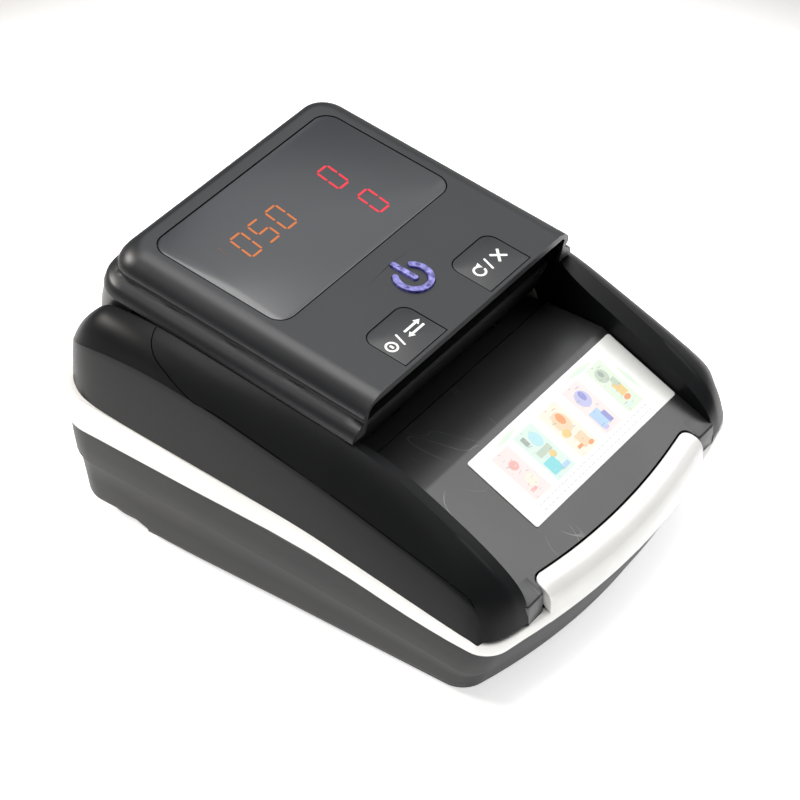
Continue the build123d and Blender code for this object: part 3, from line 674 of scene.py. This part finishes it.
def barMark(name, x, y, halfX, halfY, turn=0):
    bar = plate(name, halfX, halfY, (0, 0, -0.015), 0.03, min(halfX, halfY) * 0.4, min(halfX, halfY) * 0.4, 2)
    bar.rotation_euler = (0, 0, math.radians(turn))
    bar.location = (x * mm, y * mm, 0)
    freeze(bar)
    return bar


def buildLegends():
    # left: a coin, a slash and a two-way arrow. right: a repeat arrow, a slash and a cross
    y = -74.0
    left = [
        ringMark("mark", -26.2, y, 2.0, 1.35), barMark("mark", -26.2, y, 0.4, 0.7),
        barMark("mark", -22.3, y, 0.32, 2.3, -18),
        barMark("mark", -16.6, y + 1.0, 2.6, 0.38), arrowMark("mark", -13.4, y + 1.0, 1.25, -90),
        barMark("mark", -15.4, y - 1.0, 2.6, 0.38), arrowMark("mark", -18.6, y - 1.0, 1.25, 90),
    ]
    right = [
        ringMark("mark", 15.0, y, 2.1, 1.4, 60, 290), arrowMark("mark", 16.4, y + 1.5, 1.25, 200),
        barMark("mark", 19.2, y, 0.32, 2.3, -18),
        barMark("mark", 24.0, y, 2.6, 0.42, 45), barMark("mark", 24.0, y, 2.6, 0.42, -45),
    ]
    for name, parts, body in (("legendLeft", left, "left_key"), ("legendRight", right, "right_key")):
        finish(toHead(joinPieces(name, parts), 0.03), body, "sticker", materials["legend"])


buildLegends()


def buildSymbol():
    arc, bar = symbolSolid("powerSymbol", 0.0, -1.6, symbolShape["rise"])
    for part in (arc, bar):
        bevelEdges(part, 0.28, 3, 40)
        smoothByAngle(part, 40)
    symbol = joinPieces("powerSymbol", [arc, bar])
    return toHead(symbol)


finish(buildSymbol(), "power_key", "lit_symbol", materials["symbolLens"], "power_button")
print("head built")


# upper shell: fins, shoulders and rear

shellWall = 1.8
cornerCentre = (44.3, 61.0)
cornerSquaring = 0.1764
# points from the inner wall over the fin's edge, the shoulder and the narrow ledge down to the band; right side, mm
noseRows = [
    [(46.0, -76.2, 28.0), (46.5, -76.3, 30.5), (50.5, -75.6, 30.6), (54.5, -74.5, 30.5), (57.8, -72.9, 30.5),
        (59.4, -71.4, 30.4), (60.0, -70.6, 30.2), (60.6, -70.2, 29.8), (60.9, -69.8, 29.0)],
    [(46.0, -75.6, 28.0), (46.2, -75.6, 36.5), (50.4, -74.9, 36.9), (54.2, -73.6, 36.6), (57.2, -71.9, 36.2),
        (58.7, -70.2, 35.8), (59.2, -69.6, 35.6), (60.2, -68.9, 33.5), (61.0, -68.3, 29.5)],
    [(46.0, -73.2, 28.0), (46.0, -73.2, 41.3), (50.6, -72.4, 43.0), (54.6, -70.9, 42.2), (57.4, -69.0, 41.3),
        (58.9, -67.4, 41.0), (59.5, -67.2, 40.6), (60.6, -66.9, 36.0), (61.2, -66.7, 30.2)],
]
# one row per depth: (x, z) for the nine columns
sideRows = [
    (-65.0, [(46, 28), (46, 47.4), (50.7, 49.0), (54.5, 47.9), (58, 45.6), (59.6, 44), (60.2, 43.5),
        (61.2, 38), (61.6, 30.7)]),
    (-54.6, [(46, 29), (46, 53), (50.7, 54.9), (55, 53.2), (58.6, 50.3), (60, 48.2), (60.6, 47.6),
        (61.7, 41), (62.2, 33.2)]),
    (-40.0, [(46, 32), (46, 59.9), (50.7, 61.8), (55.2, 59.5), (59, 55.2), (60.5, 52.6), (61, 52),
        (62, 45), (62.4, 36)]),
    (-24.6, [(46.4, 40), (46.4, 66.3), (50.9, 68.3), (55.4, 65.6), (59.3, 60.4), (60.9, 57.3),
        (61.4, 56.8), (62.2, 49), (62.4, 38.7)]),
    (-16.0, [(50.8, 46), (50.8, 69.2), (52.0, 69.9), (55.5, 67.6), (59.5, 62.8), (61.2, 59.8),
        (61.7, 59.4), (62.3, 51), (62.4, 40.3)]),
    (-5.0, [(51.2, 50), (51.2, 70.9), (52.2, 71.4), (55.6, 69.3), (59.6, 65), (61.4, 62), (61.8, 61.6),
        (62.3, 53), (62.4, 41.6)]),
    (16.0, [(51.3, 54), (51.3, 73.8), (52.2, 74.3), (56, 72.6), (60, 69.3), (61.8, 66.7), (62.1, 66.2),
        (62.4, 57), (62.4, 43.2)]),
    (31.0, [(51.3, 56), (51.3, 75.9), (52.3, 76.4), (56.3, 75), (60.2, 72), (61.8, 68.5), (62.1, 68),
        (62.4, 58), (62.4, 44.3)]),
    (46.0, [(51.3, 56), (51.3, 77.8), (52.4, 78.4), (56.3, 77.4), (60.3, 74.2), (61.7, 69.9), (62, 69.3),
        (62.4, 58), (62.4, 45.3)]),
]
# rear corner: (distance from the corner's centre, height) at each angle
cornerRows = [
    (0, [(7.0, 54), (7.0, 77.2), (7.8, 77.8), (11.5, 77), (15.3, 73.6), (17.4, 68.6), (17.6, 68.2),
        (17.9, 58), (18, 46.5)]),
    (25, [(7.7, 52), (7.7, 76.3), (8.4, 76.8), (11.4, 75.8), (15, 71.9), (17.2, 66.4), (17.4, 66),
        (17.9, 57), (18, 47.2)]),
    (45, [(9.9, 50), (9.9, 72.8), (10.4, 73.2), (12.2, 71.8), (15, 68), (17, 63.2), (17.2, 62.8),
        (17.9, 55.5), (18, 47.6)]),
    (62, [(14.4, 49), (14.4, 64.8), (14.8, 65), (15.4, 64.6), (16.2, 63.2), (17.1, 60.5), (17.3, 60),
        (17.9, 54), (18, 48)]),
    (71, [(15.8, 48.6), (15.8, 52.6), (16.1, 52.8), (16.5, 52.8), (17.0, 52.6), (17.5, 52.2), (17.7, 52.0),
        (18, 50.8), (18, 48.2)]),
    (80, [(15.8, 48.4), (15.8, 50.2), (16.1, 50.4), (16.5, 50.4), (17.0, 50.4), (17.5, 50.2), (17.8, 50.0),
        (18, 49.5), (18, 48.2)]),
]
# rear: (x, y) of each row, and (distance in from the edge, height) for the nine columns
rearEdge = [(36.0, 79.4), (18.0, 80.6), (0.0, 81.0)]
rearWall = [
    (2.2, 48.4), (2.2, 50.2), (1.9, 50.4), (1.5, 50.4), (1.0, 50.4),
    (0.45, 50.2), (0.2, 50.0), (0.0, 49.5), (0.0, 48.3),
]


def shellPoints():
    rows = [list(row) for row in noseRows]
    rows += [[(x, y, z) for x, z in points] for y, points in sideRows]
    for turn, points in cornerRows:
        c, s = math.cos(math.radians(turn)), math.sin(math.radians(turn))
        # squares the corner off a little: the outer points reach out past the plain arc
        push = cornerSquaring * (abs(c) + abs(s) - 1) ** 1.2
        row = []
        for d, z in points:
            reach = d * (1 + push * min(1, d / 15))
            row.append((cornerCentre[0] + reach * c, cornerCentre[1] + reach * s, z))
        rows.append(row)
    for x, y in rearEdge:
        rows.append([(x, y - inset, z) for inset, z in rearWall])
    return rows


seamPath = [(52.6, 45.8, 78.5), (55.0, 45.2, 78.0), (58.0, 43.6, 76.4), (60.0, 40.6, 74.0),
    (60.9, 36.0, 71.6), (61.5, 31.0, 69.2), (61.9, 25.5, 67.3), (62.0, 16.0, 66.4)]
ledgePath = [(61.6, -5.0, 61.8), (61.2, -24.6, 57.0), (60.8, -40.0, 52.3), (60.3, -54.6, 47.9),
    (59.9, -65.0, 44.2), (59.2, -67.2, 40.8)]


def smoothPath(points, steps=6):
    # a curve through the points
    path = [Vector(p) for p in points]
    path = [path[0] * 2 - path[1]] + path + [path[-1] * 2 - path[-2]]
    out = []
    for a, b, c, d in zip(path, path[1:], path[2:], path[3:]):
        for step in range(steps):
            t = step / steps
            curve = (2 * a - 5 * b + 4 * c - d) * t * t + (3 * b - a - 3 * c + d) * t ** 3
            out.append(0.5 * (2 * b + (c - a) * t + curve))
    return out + [path[-2]]


def buildSeamShade(shell):
    # painted shade: near-black strips laid on the skin along the hairline joint between the shoulder and the middle
    # of the shell, and along the ledge, stand for the shade in the joint
    parts = []
    for side in (-1, 1):
        path = smoothPath([(side * x, y, z) for x, y, z in seamPath + ledgePath])
        rows = [[], []]
        for index, point in enumerate(path):
            along = (path[min(index + 1, len(path) - 1)] - path[max(index - 1, 0)]).normalized()
            hit, place, normal, face = shell.closest_point_on_mesh(point * mm)
            across = normal.cross(along).normalized()
            half = 0.16 if index < 6 * len(seamPath) else 0.11
            for row, sign in zip(rows, (-1, 1)):
                hit, edge, edgeNormal, face = shell.closest_point_on_mesh(place + across * sign * half * mm)
                row.append(tuple((edge + edgeNormal * 0.012 * mm) / mm))
        parts.append(placedGrid("shoulderSeamShade", rows))
    seamShades = joinPieces("shoulderSeamShades", parts)
    return seamShades


def buildShell():
    rows = shellPoints()
    shell = placedGrid("upperShell", rows)
    # hold the fin's edge and the ledge while the rest is smoothed
    bm = bmesh.new()
    bm.from_mesh(shell.data)
    crease = bm.edges.layers.float.get("crease_edge") or bm.edges.layers.float.new("crease_edge")
    bm.verts.ensure_lookup_table()
    columns = len(rows[0])
    sharpness = {1: 1.0, 2: 0.9, 5: 0.85, 6: 0.95}
    for edge in bm.edges:
        a, b = sorted(v.index for v in edge.verts)
        if b - a == columns and a % columns in sharpness:
            edge[crease] = sharpness[a % columns]
    bm.to_mesh(shell.data)
    bm.free()
    mirrored(shell)
    subdivide(shell, 2)
    thicken(shell, shellWall)
    smoothByAngle(shell, 32)
    return shell


shell = finish(buildShell(), "case", "cover_black", materials["shellAbs"], "upper_case", "shoulder_left",
    "shoulder_right")
# painted shade lines along the shoulder joint and along the ledge
finish(buildSeamShade(shell), "case", "cover_black", materials["seamShade"])
print("shell built")


# plan outline shared by the frame and the base

def planLoop(half, halfFront, front, rear, cornerFront, cornerRear, frontRadius, heightOf):
    # half outline from the middle of the front, round the right side, to the middle of the rear
    points = []
    edgeX = halfFront - cornerFront
    drop = frontRadius - math.sqrt(frontRadius ** 2 - edgeX ** 2)
    for step in range(12):
        x = edgeX * step / 12
        points.append((x, front + frontRadius - math.sqrt(frontRadius ** 2 - x ** 2)))
    cy = front + drop + cornerFront
    for step in range(9):
        angle = math.radians(-78 + 78 * step / 8)
        points.append((edgeX + cornerFront * math.cos(angle), cy + cornerFront * math.sin(angle)))
    ry = rear - 1.2 - cornerRear
    for step in range(1, 20):
        t = step / 20
        points.append((halfFront + (half - halfFront) * min(1, t * 1.4), cy + (ry - cy) * t))
    for step in range(11):
        angle = math.radians(90 * step / 10)
        points.append((half - cornerRear + cornerRear * math.cos(angle), ry + cornerRear * math.sin(angle)))
    for step in range(1, 7):
        t = step / 6
        points.append(((half - cornerRear) * (1 - t), rear - 1.2 * (1 - t) ** 2))
    return [(x, y, heightOf(y)) for x, y in points]


def alongSide(table):
    # height as a smooth function of y from (y, z) pairs
    def height(y):
        for (y0, z0), (y1, z1) in zip(table, table[1:]):
            if y <= y1:
                t = max(0.0, (y - y0) / (y1 - y0))
                return z0 + (z1 - z0) * t
        return table[-1][1]
    return height


bandTop = alongSide([(-82, 28.4), (-69, 30.0), (-54, 33.0), (-33, 37.3), (-12, 41.0), (25, 43.8),
    (62, 46.6), (82, 48.5)])
bandLow = alongSide([(-82, 24.6), (-69, 24.7), (-58, 25.2), (-44, 27.0), (-28, 30.0), (-14, 31.9),
    (0, 33.0), (26, 33.8), (62, 34.7), (82, 35.1)])
caseEdge = {"half": 62.45, "halfFront": 60.9, "front": -81.45, "rear": 81.4, "frontRadius": 215}


def buildFrame():
    # the pale band: its outer face, rounded in at the top and bottom edges
    steps = [
        (1.6, "low", 0.0), (0.5, "low", 0.05), (0.12, "low", 0.35), (0.0, "low", 0.9), (0.0, "mid", 0),
        (0.0, "top", -0.9), (0.15, "top", -0.3), (0.5, "top", 0.0), (2.4, "top", 0.05),
    ]
    rows = []
    for inset, edge, offset in steps:
        def height(y, edge=edge, offset=offset):
            edges = {"low": bandLow(y), "top": bandTop(y), "mid": (bandLow(y) + bandTop(y)) / 2}
            return edges[edge] + offset
        rows.append(planLoop(caseEdge["half"] - inset, caseEdge["halfFront"] - inset,
            caseEdge["front"] + inset, caseEdge["rear"] - inset, 8.5 - inset, 12.5 - inset,
            caseEdge["frontRadius"], height))
    band = placedGrid("paleBand", rows)
    mirrored(band)
    thicken(band, 1.2)
    smoothByAngle(band, 40)
    return band


lipShape = {
    "innerY": -74.15, "innerRadius": 235, "half": 38.4, "corner": 3.6,
    # share of the way from the inner edge to the outer, and the height over the tray's slope
    "section": [
        (0.0, -5.0), (0.0, -0.6), (0.03, -0.15), (0.1, 0.05), (0.3, 0.15), (0.5, 0.1), (0.7, -0.2),
        (0.84, -0.8), (0.93, -1.7), (0.98, -3.0), (1.0, -4.6), (1.0, -6.6), (0.99, None),
    ],
    "bottom": 25.0,
}
trayFloor = {"y": -39.6, "z": 52.43, "rise": 0.4544}


def floorHeight(y):
    return trayFloor["z"] + (y - trayFloor["y"]) * trayFloor["rise"]


def lipInner(x):
    # the lip's inner edge in plan, its two ends rounded forward
    l = lipShape
    y = l["innerY"] + l["innerRadius"] - math.sqrt(l["innerRadius"] ** 2 - x ** 2)
    past = min(abs(x) - (l["half"] - l["corner"]), l["corner"])
    if past > 0:
        y -= l["corner"] - math.sqrt(max(0.0, l["corner"] ** 2 - past ** 2))
    return y


def buildLip():
    # rows run from the inner edge over the top, down the rounded nose and under
    rows = []
    steps = 40
    half = lipShape["half"]
    for index in range(steps + 1):
        t = -1 + 2 * index / steps
        # closer stations towards the rounded ends
        nearEnd = 0.9 + 0.1 * math.sin(math.pi / 2 * (abs(t) - 0.667) / 0.333)
        x = half * (t * 1.35 if abs(t) < 0.667 else math.copysign(nearEnd, t))
        row = []
        inner = lipInner(x)
        bow = caseEdge["frontRadius"]
        outer = caseEdge["front"] + bow - math.sqrt(bow ** 2 - x ** 2)
        for place, lift in lipShape["section"]:
            y = inner + (outer - inner) * place
            z = lipShape["bottom"] if lift is None else floorHeight(y) + lift
            row.append((x, y, z))
        rows.append(row)
    lip = placedGrid("paleLip", rows)
    for side in (-1, 1):
        editMode(lip)
        pick(lip, "edges",
            lambda p, e: e.is_boundary and all(abs(v.co.x / mm - side * half) < 0.02 for v in e.verts))
        bpy.ops.mesh.edge_face_add()
        objectMode()
    recalculate(lip)
    smoothByAngle(lip, 50)
    return lip


band = buildFrame()
lip = buildLip()
whiteFrame = joinPieces("paleFrame", [band, lip])
finish(whiteFrame, "case", "light_frame", materials["paleAbs"], "mid_frame")
print("frame built")

baseFloor = alongSide([(-80, 2.05), (46, 2.05), (49, 2.4), (52, 3.6), (54.5, 4.5), (57, 4.8), (82, 4.8)])
baseCrease = alongSide([(-72, 12.0), (-56, 14.0), (-8, 18.2), (28, 20.8), (64, 21.5), (80, 22.2)])


def buildBase():
    def loop(inset, insetFront, heightOf):
        return planLoop(caseEdge["half"] - 0.55 - inset, caseEdge["halfFront"] - 0.55 - inset * 1.1,
            caseEdge["front"] + 0.6 + insetFront, caseEdge["rear"] - 0.6 - inset, 8.0, 12.2 - inset,
            190 - 3 * inset, heightOf)
    rows = [
        loop(0.0, 0.0, lambda y: bandLow(y) + 0.3),
        loop(0.05, 0.5, lambda y: bandLow(y) - 1.6),
        loop(0.35, 2.5, lambda y: bandLow(y) * 0.5 + baseCrease(y) * 0.5),
        loop(0.9, 4.9, lambda y: baseCrease(y) + 0.9),
        loop(1.1, 5.2, lambda y: baseCrease(y) + 0.25),
        loop(1.7, 5.6, lambda y: baseCrease(y) - 0.1),
        loop(1.95, 5.9, lambda y: baseCrease(y) - 0.6),
        loop(2.9, 8.3, lambda y: (baseCrease(y) + 3.4 + baseFloor(y) - 2) / 2),
        loop(3.7, 9.9, lambda y: baseFloor(y) + 2.0),
        loop(4.1, 10.3, lambda y: baseFloor(y) + 0.85),
        loop(4.7, 11.0, lambda y: baseFloor(y)),
        loop(6.0, 13.0, lambda y: baseFloor(y) + 0.25),
    ]
    base = placedGrid("lowerCase", rows)
    mirrored(base)
    thicken(base, 0.35)
    # holes for the power inlet and the update port
    deselectAll()
    bpy.ops.mesh.primitive_cylinder_add(vertices=40, radius=4.3 * mm, depth=12 * mm,
        location=(34 * mm, 78 * mm, 16 * mm), rotation=(math.pi / 2, 0, 0))
    cut(base, bpy.context.object)
    port = plate("portHole", 4.8, 2.1, (0, 0, 0), 12, 0.4, 0.4, 3)
    port.rotation_euler = (math.pi / 2, 0, 0)
    port.location = (17 * mm, 84 * mm, 16 * mm)
    freeze(port)
    cut(base, port)
    smoothByAngle(base, 28)
    return base


lowerSkin = buildBase()
finish(lowerSkin, "case", "dark_case", materials["baseAbs"])
print("base built")

# feed tray, sticker and its print

def toTray(piece, lift=0.0):
    piece.location = (0, 0, lift * mm)
    freeze(piece)
    piece.rotation_euler = (math.atan(trayFloor["rise"]), 0, 0)
    piece.location = (0, trayFloor["y"] * mm, trayFloor["z"] * mm)
    freeze(piece)
    return piece


def buildSticker():
    film = plate("trayLabel", 35.0, 13.1, (10.46, -13.1, 0.0), 0.28, 0.8, 0.8, 5)
    bevelEdges(film, 0.06, 1, 40)
    smoothByAngle(film, 30)
    return toTray(film, 0.0)


finish(buildSticker(), "case", "sticker", materials["stickerFilm"], "tray_label")

inks = {
    "mint": "#dff3ea", "leaf": "#e6f3e2", "cyan": "#8fe0e6", "aqua": "#bfeaf0", "peach": "#fbd9b8",
    "orange": "#f3a874", "rose": "#f9eae8", "pink": "#f2b9b4", "lilac": "#c9c9ee", "violet": "#9c9fda",
    "sky": "#b9d6f2", "sage": "#c8d6c4", "slate": "#a9b3ad", "gold": "#f1d38c", "cream": "#f8f1e2",
    "dash": "#c8ccc8",
}
inkMaterials = {name: printInk("stickerInk_" + name, colour) for name, colour in inks.items()}


def inkPatch(ink, x, y, halfX, halfY, turn=0.0, sides=0):
    # a flat patch of ink on the sticker; x from its left edge, y back from its front edge
    px, py = x - 24.54, -26.2 + y
    if sides:
        deselectAll()
        bpy.ops.mesh.primitive_cylinder_add(vertices=sides, radius=mm, depth=0.01 * mm)
        patch = bpy.context.object
        patch.scale = (halfX, halfY, 1)
        freeze(patch)
    else:
        patch = plate("ink", halfX, halfY, (0, 0, 0), 0.01, 0.12, 0.12, 1)
    patch.rotation_euler = (0, 0, math.radians(turn))
    patch.location = (px * mm, py * mm, 0)
    freeze(patch)
    patch.data.materials.clear()
    patch.data.materials.append(inkMaterials[ink])
    return patch


def buildNotePrints():
    # five made-up notes standing side by side, each a pale field with plain shapes on it
    layers = []
    # place across, half width, half height, field ink, then each mark: ink, offset, half size, sides
    notes = [
        (10.6, 3.8, 8.4, "rose", [
            ("pink", 0, 3.0, 1.6, 1.6, 14), ("cream", 0.6, -3.2, 2.0, 2.2, 12),
            ("pink", -1.2, -5.6, 1.2, 0.5, 0)]),
        (21.6, 4.4, 8.6, "mint", [
            ("cyan", -1.4, -4.6, 2.2, 2.4, 0), ("aqua", 1.2, 4.2, 2.0, 2.6, 12),
            ("sage", 0.2, 0.2, 2.8, 1.1, 0), ("gold", 1.6, -2.0, 1.2, 1.2, 10),
            ("slate", -2.2, 5.6, 0.8, 1.4, 0), ("sky", 1.8, -6.6, 1.6, 0.7, 0)]),
        (33.4, 4.2, 8.6, "cream", [
            ("peach", 0.2, 2.6, 2.8, 3.6, 16), ("orange", 0.8, 3.6, 1.3, 1.9, 14),
            ("gold", -1.6, -0.6, 1.6, 1.4, 9), ("peach", 1.0, -4.8, 1.8, 2.2, 0),
            ("orange", -1.6, -5.8, 1.0, 0.5, 0), ("orange", 2.2, -7.0, 1.1, 0.7, 10)]),
        (45.2, 4.0, 8.6, "rose", [
            ("lilac", 0.0, 3.4, 2.6, 2.9, 16), ("violet", 0.6, 4.2, 1.1, 1.6, 12),
            ("sky", -1.0, -3.8, 2.0, 2.8, 0), ("violet", 1.4, -4.8, 0.9, 1.9, 0),
            ("lilac", -1.8, -7.0, 1.1, 0.6, 10)]),
        (56.6, 3.6, 8.6, "leaf", [
            ("sage", -0.4, 4.4, 2.2, 2.4, 14), ("slate", -0.2, 5.0, 0.8, 1.2, 12),
            ("gold", 0.8, -1.6, 1.4, 2.2, 0), ("orange", 0.4, -4.8, 1.3, 0.9, 10),
            ("mint", -1.2, -6.8, 1.2, 0.8, 0), ("sage", 1.4, 0.8, 0.9, 1.5, 0)]),
    ]
    for x, halfX, halfY, field, marks in notes:
        middle = 13.9
        layers.append((0.0, inkPatch(field, x, middle, halfX, halfY)))
        for depth, (ink, dx, dy, hx, hy, sides) in enumerate(marks):
            layers.append((0.012 * (depth + 1), inkPatch(ink, x + dx, middle + dy, hx, hy, 0, sides)))
        # hairline pattern work: short strokes crossing the note
        for count in range(16):
            ink = (marks[0][0], "sage", marks[1][0], "slate")[count % 4]
            dx = halfX * (((count * 5) % 9) / 9 - 0.5) * 1.3
            dy = halfY * (count / 15 - 0.5) * 1.85
            layers.append((0.085, inkPatch(ink, x + dx, middle + dy, 0.35 + 0.2 * (count % 3), 0.07,
                (count * 37) % 50 - 25)))
    # pale leaf shapes behind the notes and on the right
    leaves = ((16.0, 24.0, 5.6, 0.9, 4), (52.0, 23.9, 6.6, 1.0, -4), (62.6, 13.0, 0.9, 5.6, 3))
    for x, y, hx, hy, turn in leaves:
        layers.append((0.0, inkPatch("leaf", x, y, hx, hy, turn, 4)))
        layers.append((0.012, inkPatch("mint", x + 0.4, y - 0.3, hx * 0.45, hy * 0.45, turn, 4)))
    # two rows of short dashes along the front edge
    for row, y in enumerate((3.9, 2.0)):
        x = 7.0
        count = 0
        while x < 60.5:
            long = 0.45 + 0.35 * ((count * 7 + row * 3) % 5) / 4
            layers.append((0.0, inkPatch("dash", x, y, long, 0.1)))
            x += 2 * long + 0.55
            count += 1
    parts = []
    for lift, patch in layers:
        patch.location.z = lift * mm
        freeze(patch)
        parts.append(patch)
    prints = joinPieces("notePrints", parts)
    toTray(prints, 0.29)
    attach(prints, "case")
    return prints


buildNotePrints()


def buildTray():
    # the floor: a grid laid to the slope, its crease rounded, its front corners cut round the lip
    rows = []
    half = 45.95
    corners = [lipShape["half"] + 0.35 - lipShape["corner"] * (1 - math.sin(math.radians(turn)))
        for turn in range(0, 91, 15)]
    side = corners + [corners[-1] + 0.4, 41.5, half]
    middle = [corners[0] * step / 12 for step in range(-12, 13)]
    xs = [-x for x in reversed(side[1:])] + middle + side[1:]
    for place in (0.0, 0.02, 0.1, 0.25, 0.45, 0.65, 0.82, 0.93, 0.985, 1.0):
        row = []
        for x in xs:
            past = min(abs(x), lipShape["half"] + 0.35)
            start = lipInner(past - 0.35 if past > 34 else past) + 0.35
            y = start + (-37.9 - start) * place
            row.append((x, y, floorHeight(y)))
        rows.append(row)
    for y, z in ((-37.5, 53.34), (-37.0, 53.42), (-30.0, 53.42), (-18.0, 53.42)):
        rows.append([(x, y, z) for x in xs])
    tray = placedGrid("feedTray", rows)
    recalculate(tray)
    faceTowards(tray, (0, 0, 1))
    thicken(tray, 1.6)
    feet = []
    for side in (-1, 1):
        # the floor runs on round the end of the lip and turns down in front of the fin
        foot = plate("trayFoot", 4.1, 3.1, (side * 42.95, -73.05, 28.6), 8, 1.1, 0.0, 5)
        editMode(foot)
        pick(foot, "verts", lambda p: p.z > 30)
        bm = bmesh.from_edit_mesh(foot.data)
        for v in bm.verts:
            if v.select:
                v.co.z = (floorHeight(v.co.y / mm) + 0.02) * mm
        bmesh.update_edit_mesh(foot.data)
        objectMode()
        bevelEdges(foot, 0.5, 3, 40)
        feet.append(foot)
    tray = joinPieces("feedTray", [tray] + feet)
    smoothByAngle(tray, 25)
    return tray


finish(buildTray(), "case", "tray_black", materials["trayAbs"], "feed_tray")
print("tray built")

# camera, floor and light

view = {"azimuth": -53.52, "elevation": 40.70, "place": (-549.23, -404.96, 625.33), "lens": 140.89}


def buildCamera():
    deselectAll()
    bpy.ops.object.camera_add(location=Vector(view["place"]) * mm)
    camera = bpy.context.object
    camera.name = "studioCamera"
    a, e = math.radians(view["azimuth"]), math.radians(view["elevation"])
    back = Vector((math.sin(a) * math.cos(e), -math.cos(a) * math.cos(e), math.sin(e)))
    camera.rotation_mode = "QUATERNION"
    camera.rotation_quaternion = (-back).to_track_quat("-Z", "Y")
    camera.data.lens = view["lens"]
    camera.data.sensor_width = 36
    camera.data.clip_start = 0.05
    camera.data.clip_end = 20
    bpy.context.scene.camera = camera


buildCamera()


def areaLight(name, place, target, size, power, colour=(1, 1, 1)):
    deselectAll()
    bpy.ops.object.light_add(type="AREA", location=Vector(place))
    light = bpy.context.object
    light.name = name
    light.data.shape = "RECTANGLE"
    light.data.size, light.data.size_y = size
    light.data.energy = power
    light.data.color = colour
    light.rotation_mode = "QUATERNION"
    light.rotation_quaternion = (Vector(target) - Vector(place)).to_track_quat("-Z", "Y")
    return light


def buildStudio():
    deselectAll()
    bpy.ops.mesh.primitive_plane_add(size=2.4, location=(0, 0, 0))
    floor = bpy.context.object
    floor.name = "studioFloor"
    # painted light: the floor is given a glow that lightens the cast shadows
    paper, tree, shader, place = newMaterial("paintedGlowFloor",
        {"Base Color": linear("#ffffff"), "Roughness": 0.9, "Emission Color": linear("#ffffff"),
            "Emission Strength": 0.68})
    fibre = addNode(tree, "ShaderNodeTexNoise", {"Scale": 1000 / 4.0}, {"Vector": place})
    bump = addNode(tree, "ShaderNodeBump", {"Strength": 0.05, "Distance": 0.0001},
        {"Height": fibre.outputs["Fac"]})
    tree.links.new(bump.outputs["Normal"], shader.inputs["Normal"])
    # painted light: the floor glows, lightening the shadows under the object; the glow fades out away from the
    # middle, and further out the floor turns grey
    reach = addNode(tree, "ShaderNodeVectorMath", {"operation": "LENGTH"})
    tree.links.new(place, reach.inputs[0])
    glow = addNode(tree, "ShaderNodeMapRange",
        {"From Min": 0.17, "From Max": 0.30, "To Min": 0.68, "To Max": 0.0}, {"Value": reach.outputs["Value"]})
    tree.links.new(glow.outputs["Result"], shader.inputs["Emission Strength"])
    edge = addNode(tree, "ShaderNodeMapRange", {"From Min": 0.19, "From Max": 0.34},
        {"Value": reach.outputs["Value"]})
    tone = addNode(tree, "ShaderNodeValToRGB", None, {"Fac": edge.outputs["Result"]})
    tone.color_ramp.elements[0].color = linear("#ffffff")
    tone.color_ramp.elements[1].color = linear("#9c9c9c")
    tree.links.new(tone.outputs["Color"], shader.inputs["Base Color"])
    floor.data.materials.append(paper)
    world = bpy.data.worlds.new("studioWorld")
    bpy.context.scene.world = world
    world.use_nodes = True
    background = world.node_tree.nodes["Background"]
    background.inputs["Color"].default_value = (1.0, 1.0, 1.0, 1.0)
    background.inputs["Strength"].default_value = 0.12
    areaLight("softTop", (0.05, 0.15, 1.4), (0, 0, 0.05), (0.9, 0.9), 16.0, (1.0, 0.985, 0.97))
    areaLight("softRearRight", (0.78, 0.35, 1.0), (0, 0, 0.05), (0.95, 0.95), 3.4, (0.97, 0.98, 1.0))
    areaLight("softFrontRight", (0.76, -0.42, 0.98), (0, 0, 0.05), (0.6, 0.6), 4.2)
    areaLight("softRight", (1.3, 0.1, 0.32), (0, 0, 0.05), (0.8, 0.45), 1.3)
    areaLight("warmRear", (-0.42, 1.0, 0.75), (0, 0, 0.05), (0.4, 0.3), 12.0, (1.0, 0.94, 0.88))


buildStudio()
bpy.context.scene.view_settings.view_transform = "Standard"
bpy.context.scene.view_settings.look = "None"

print("scene ready")
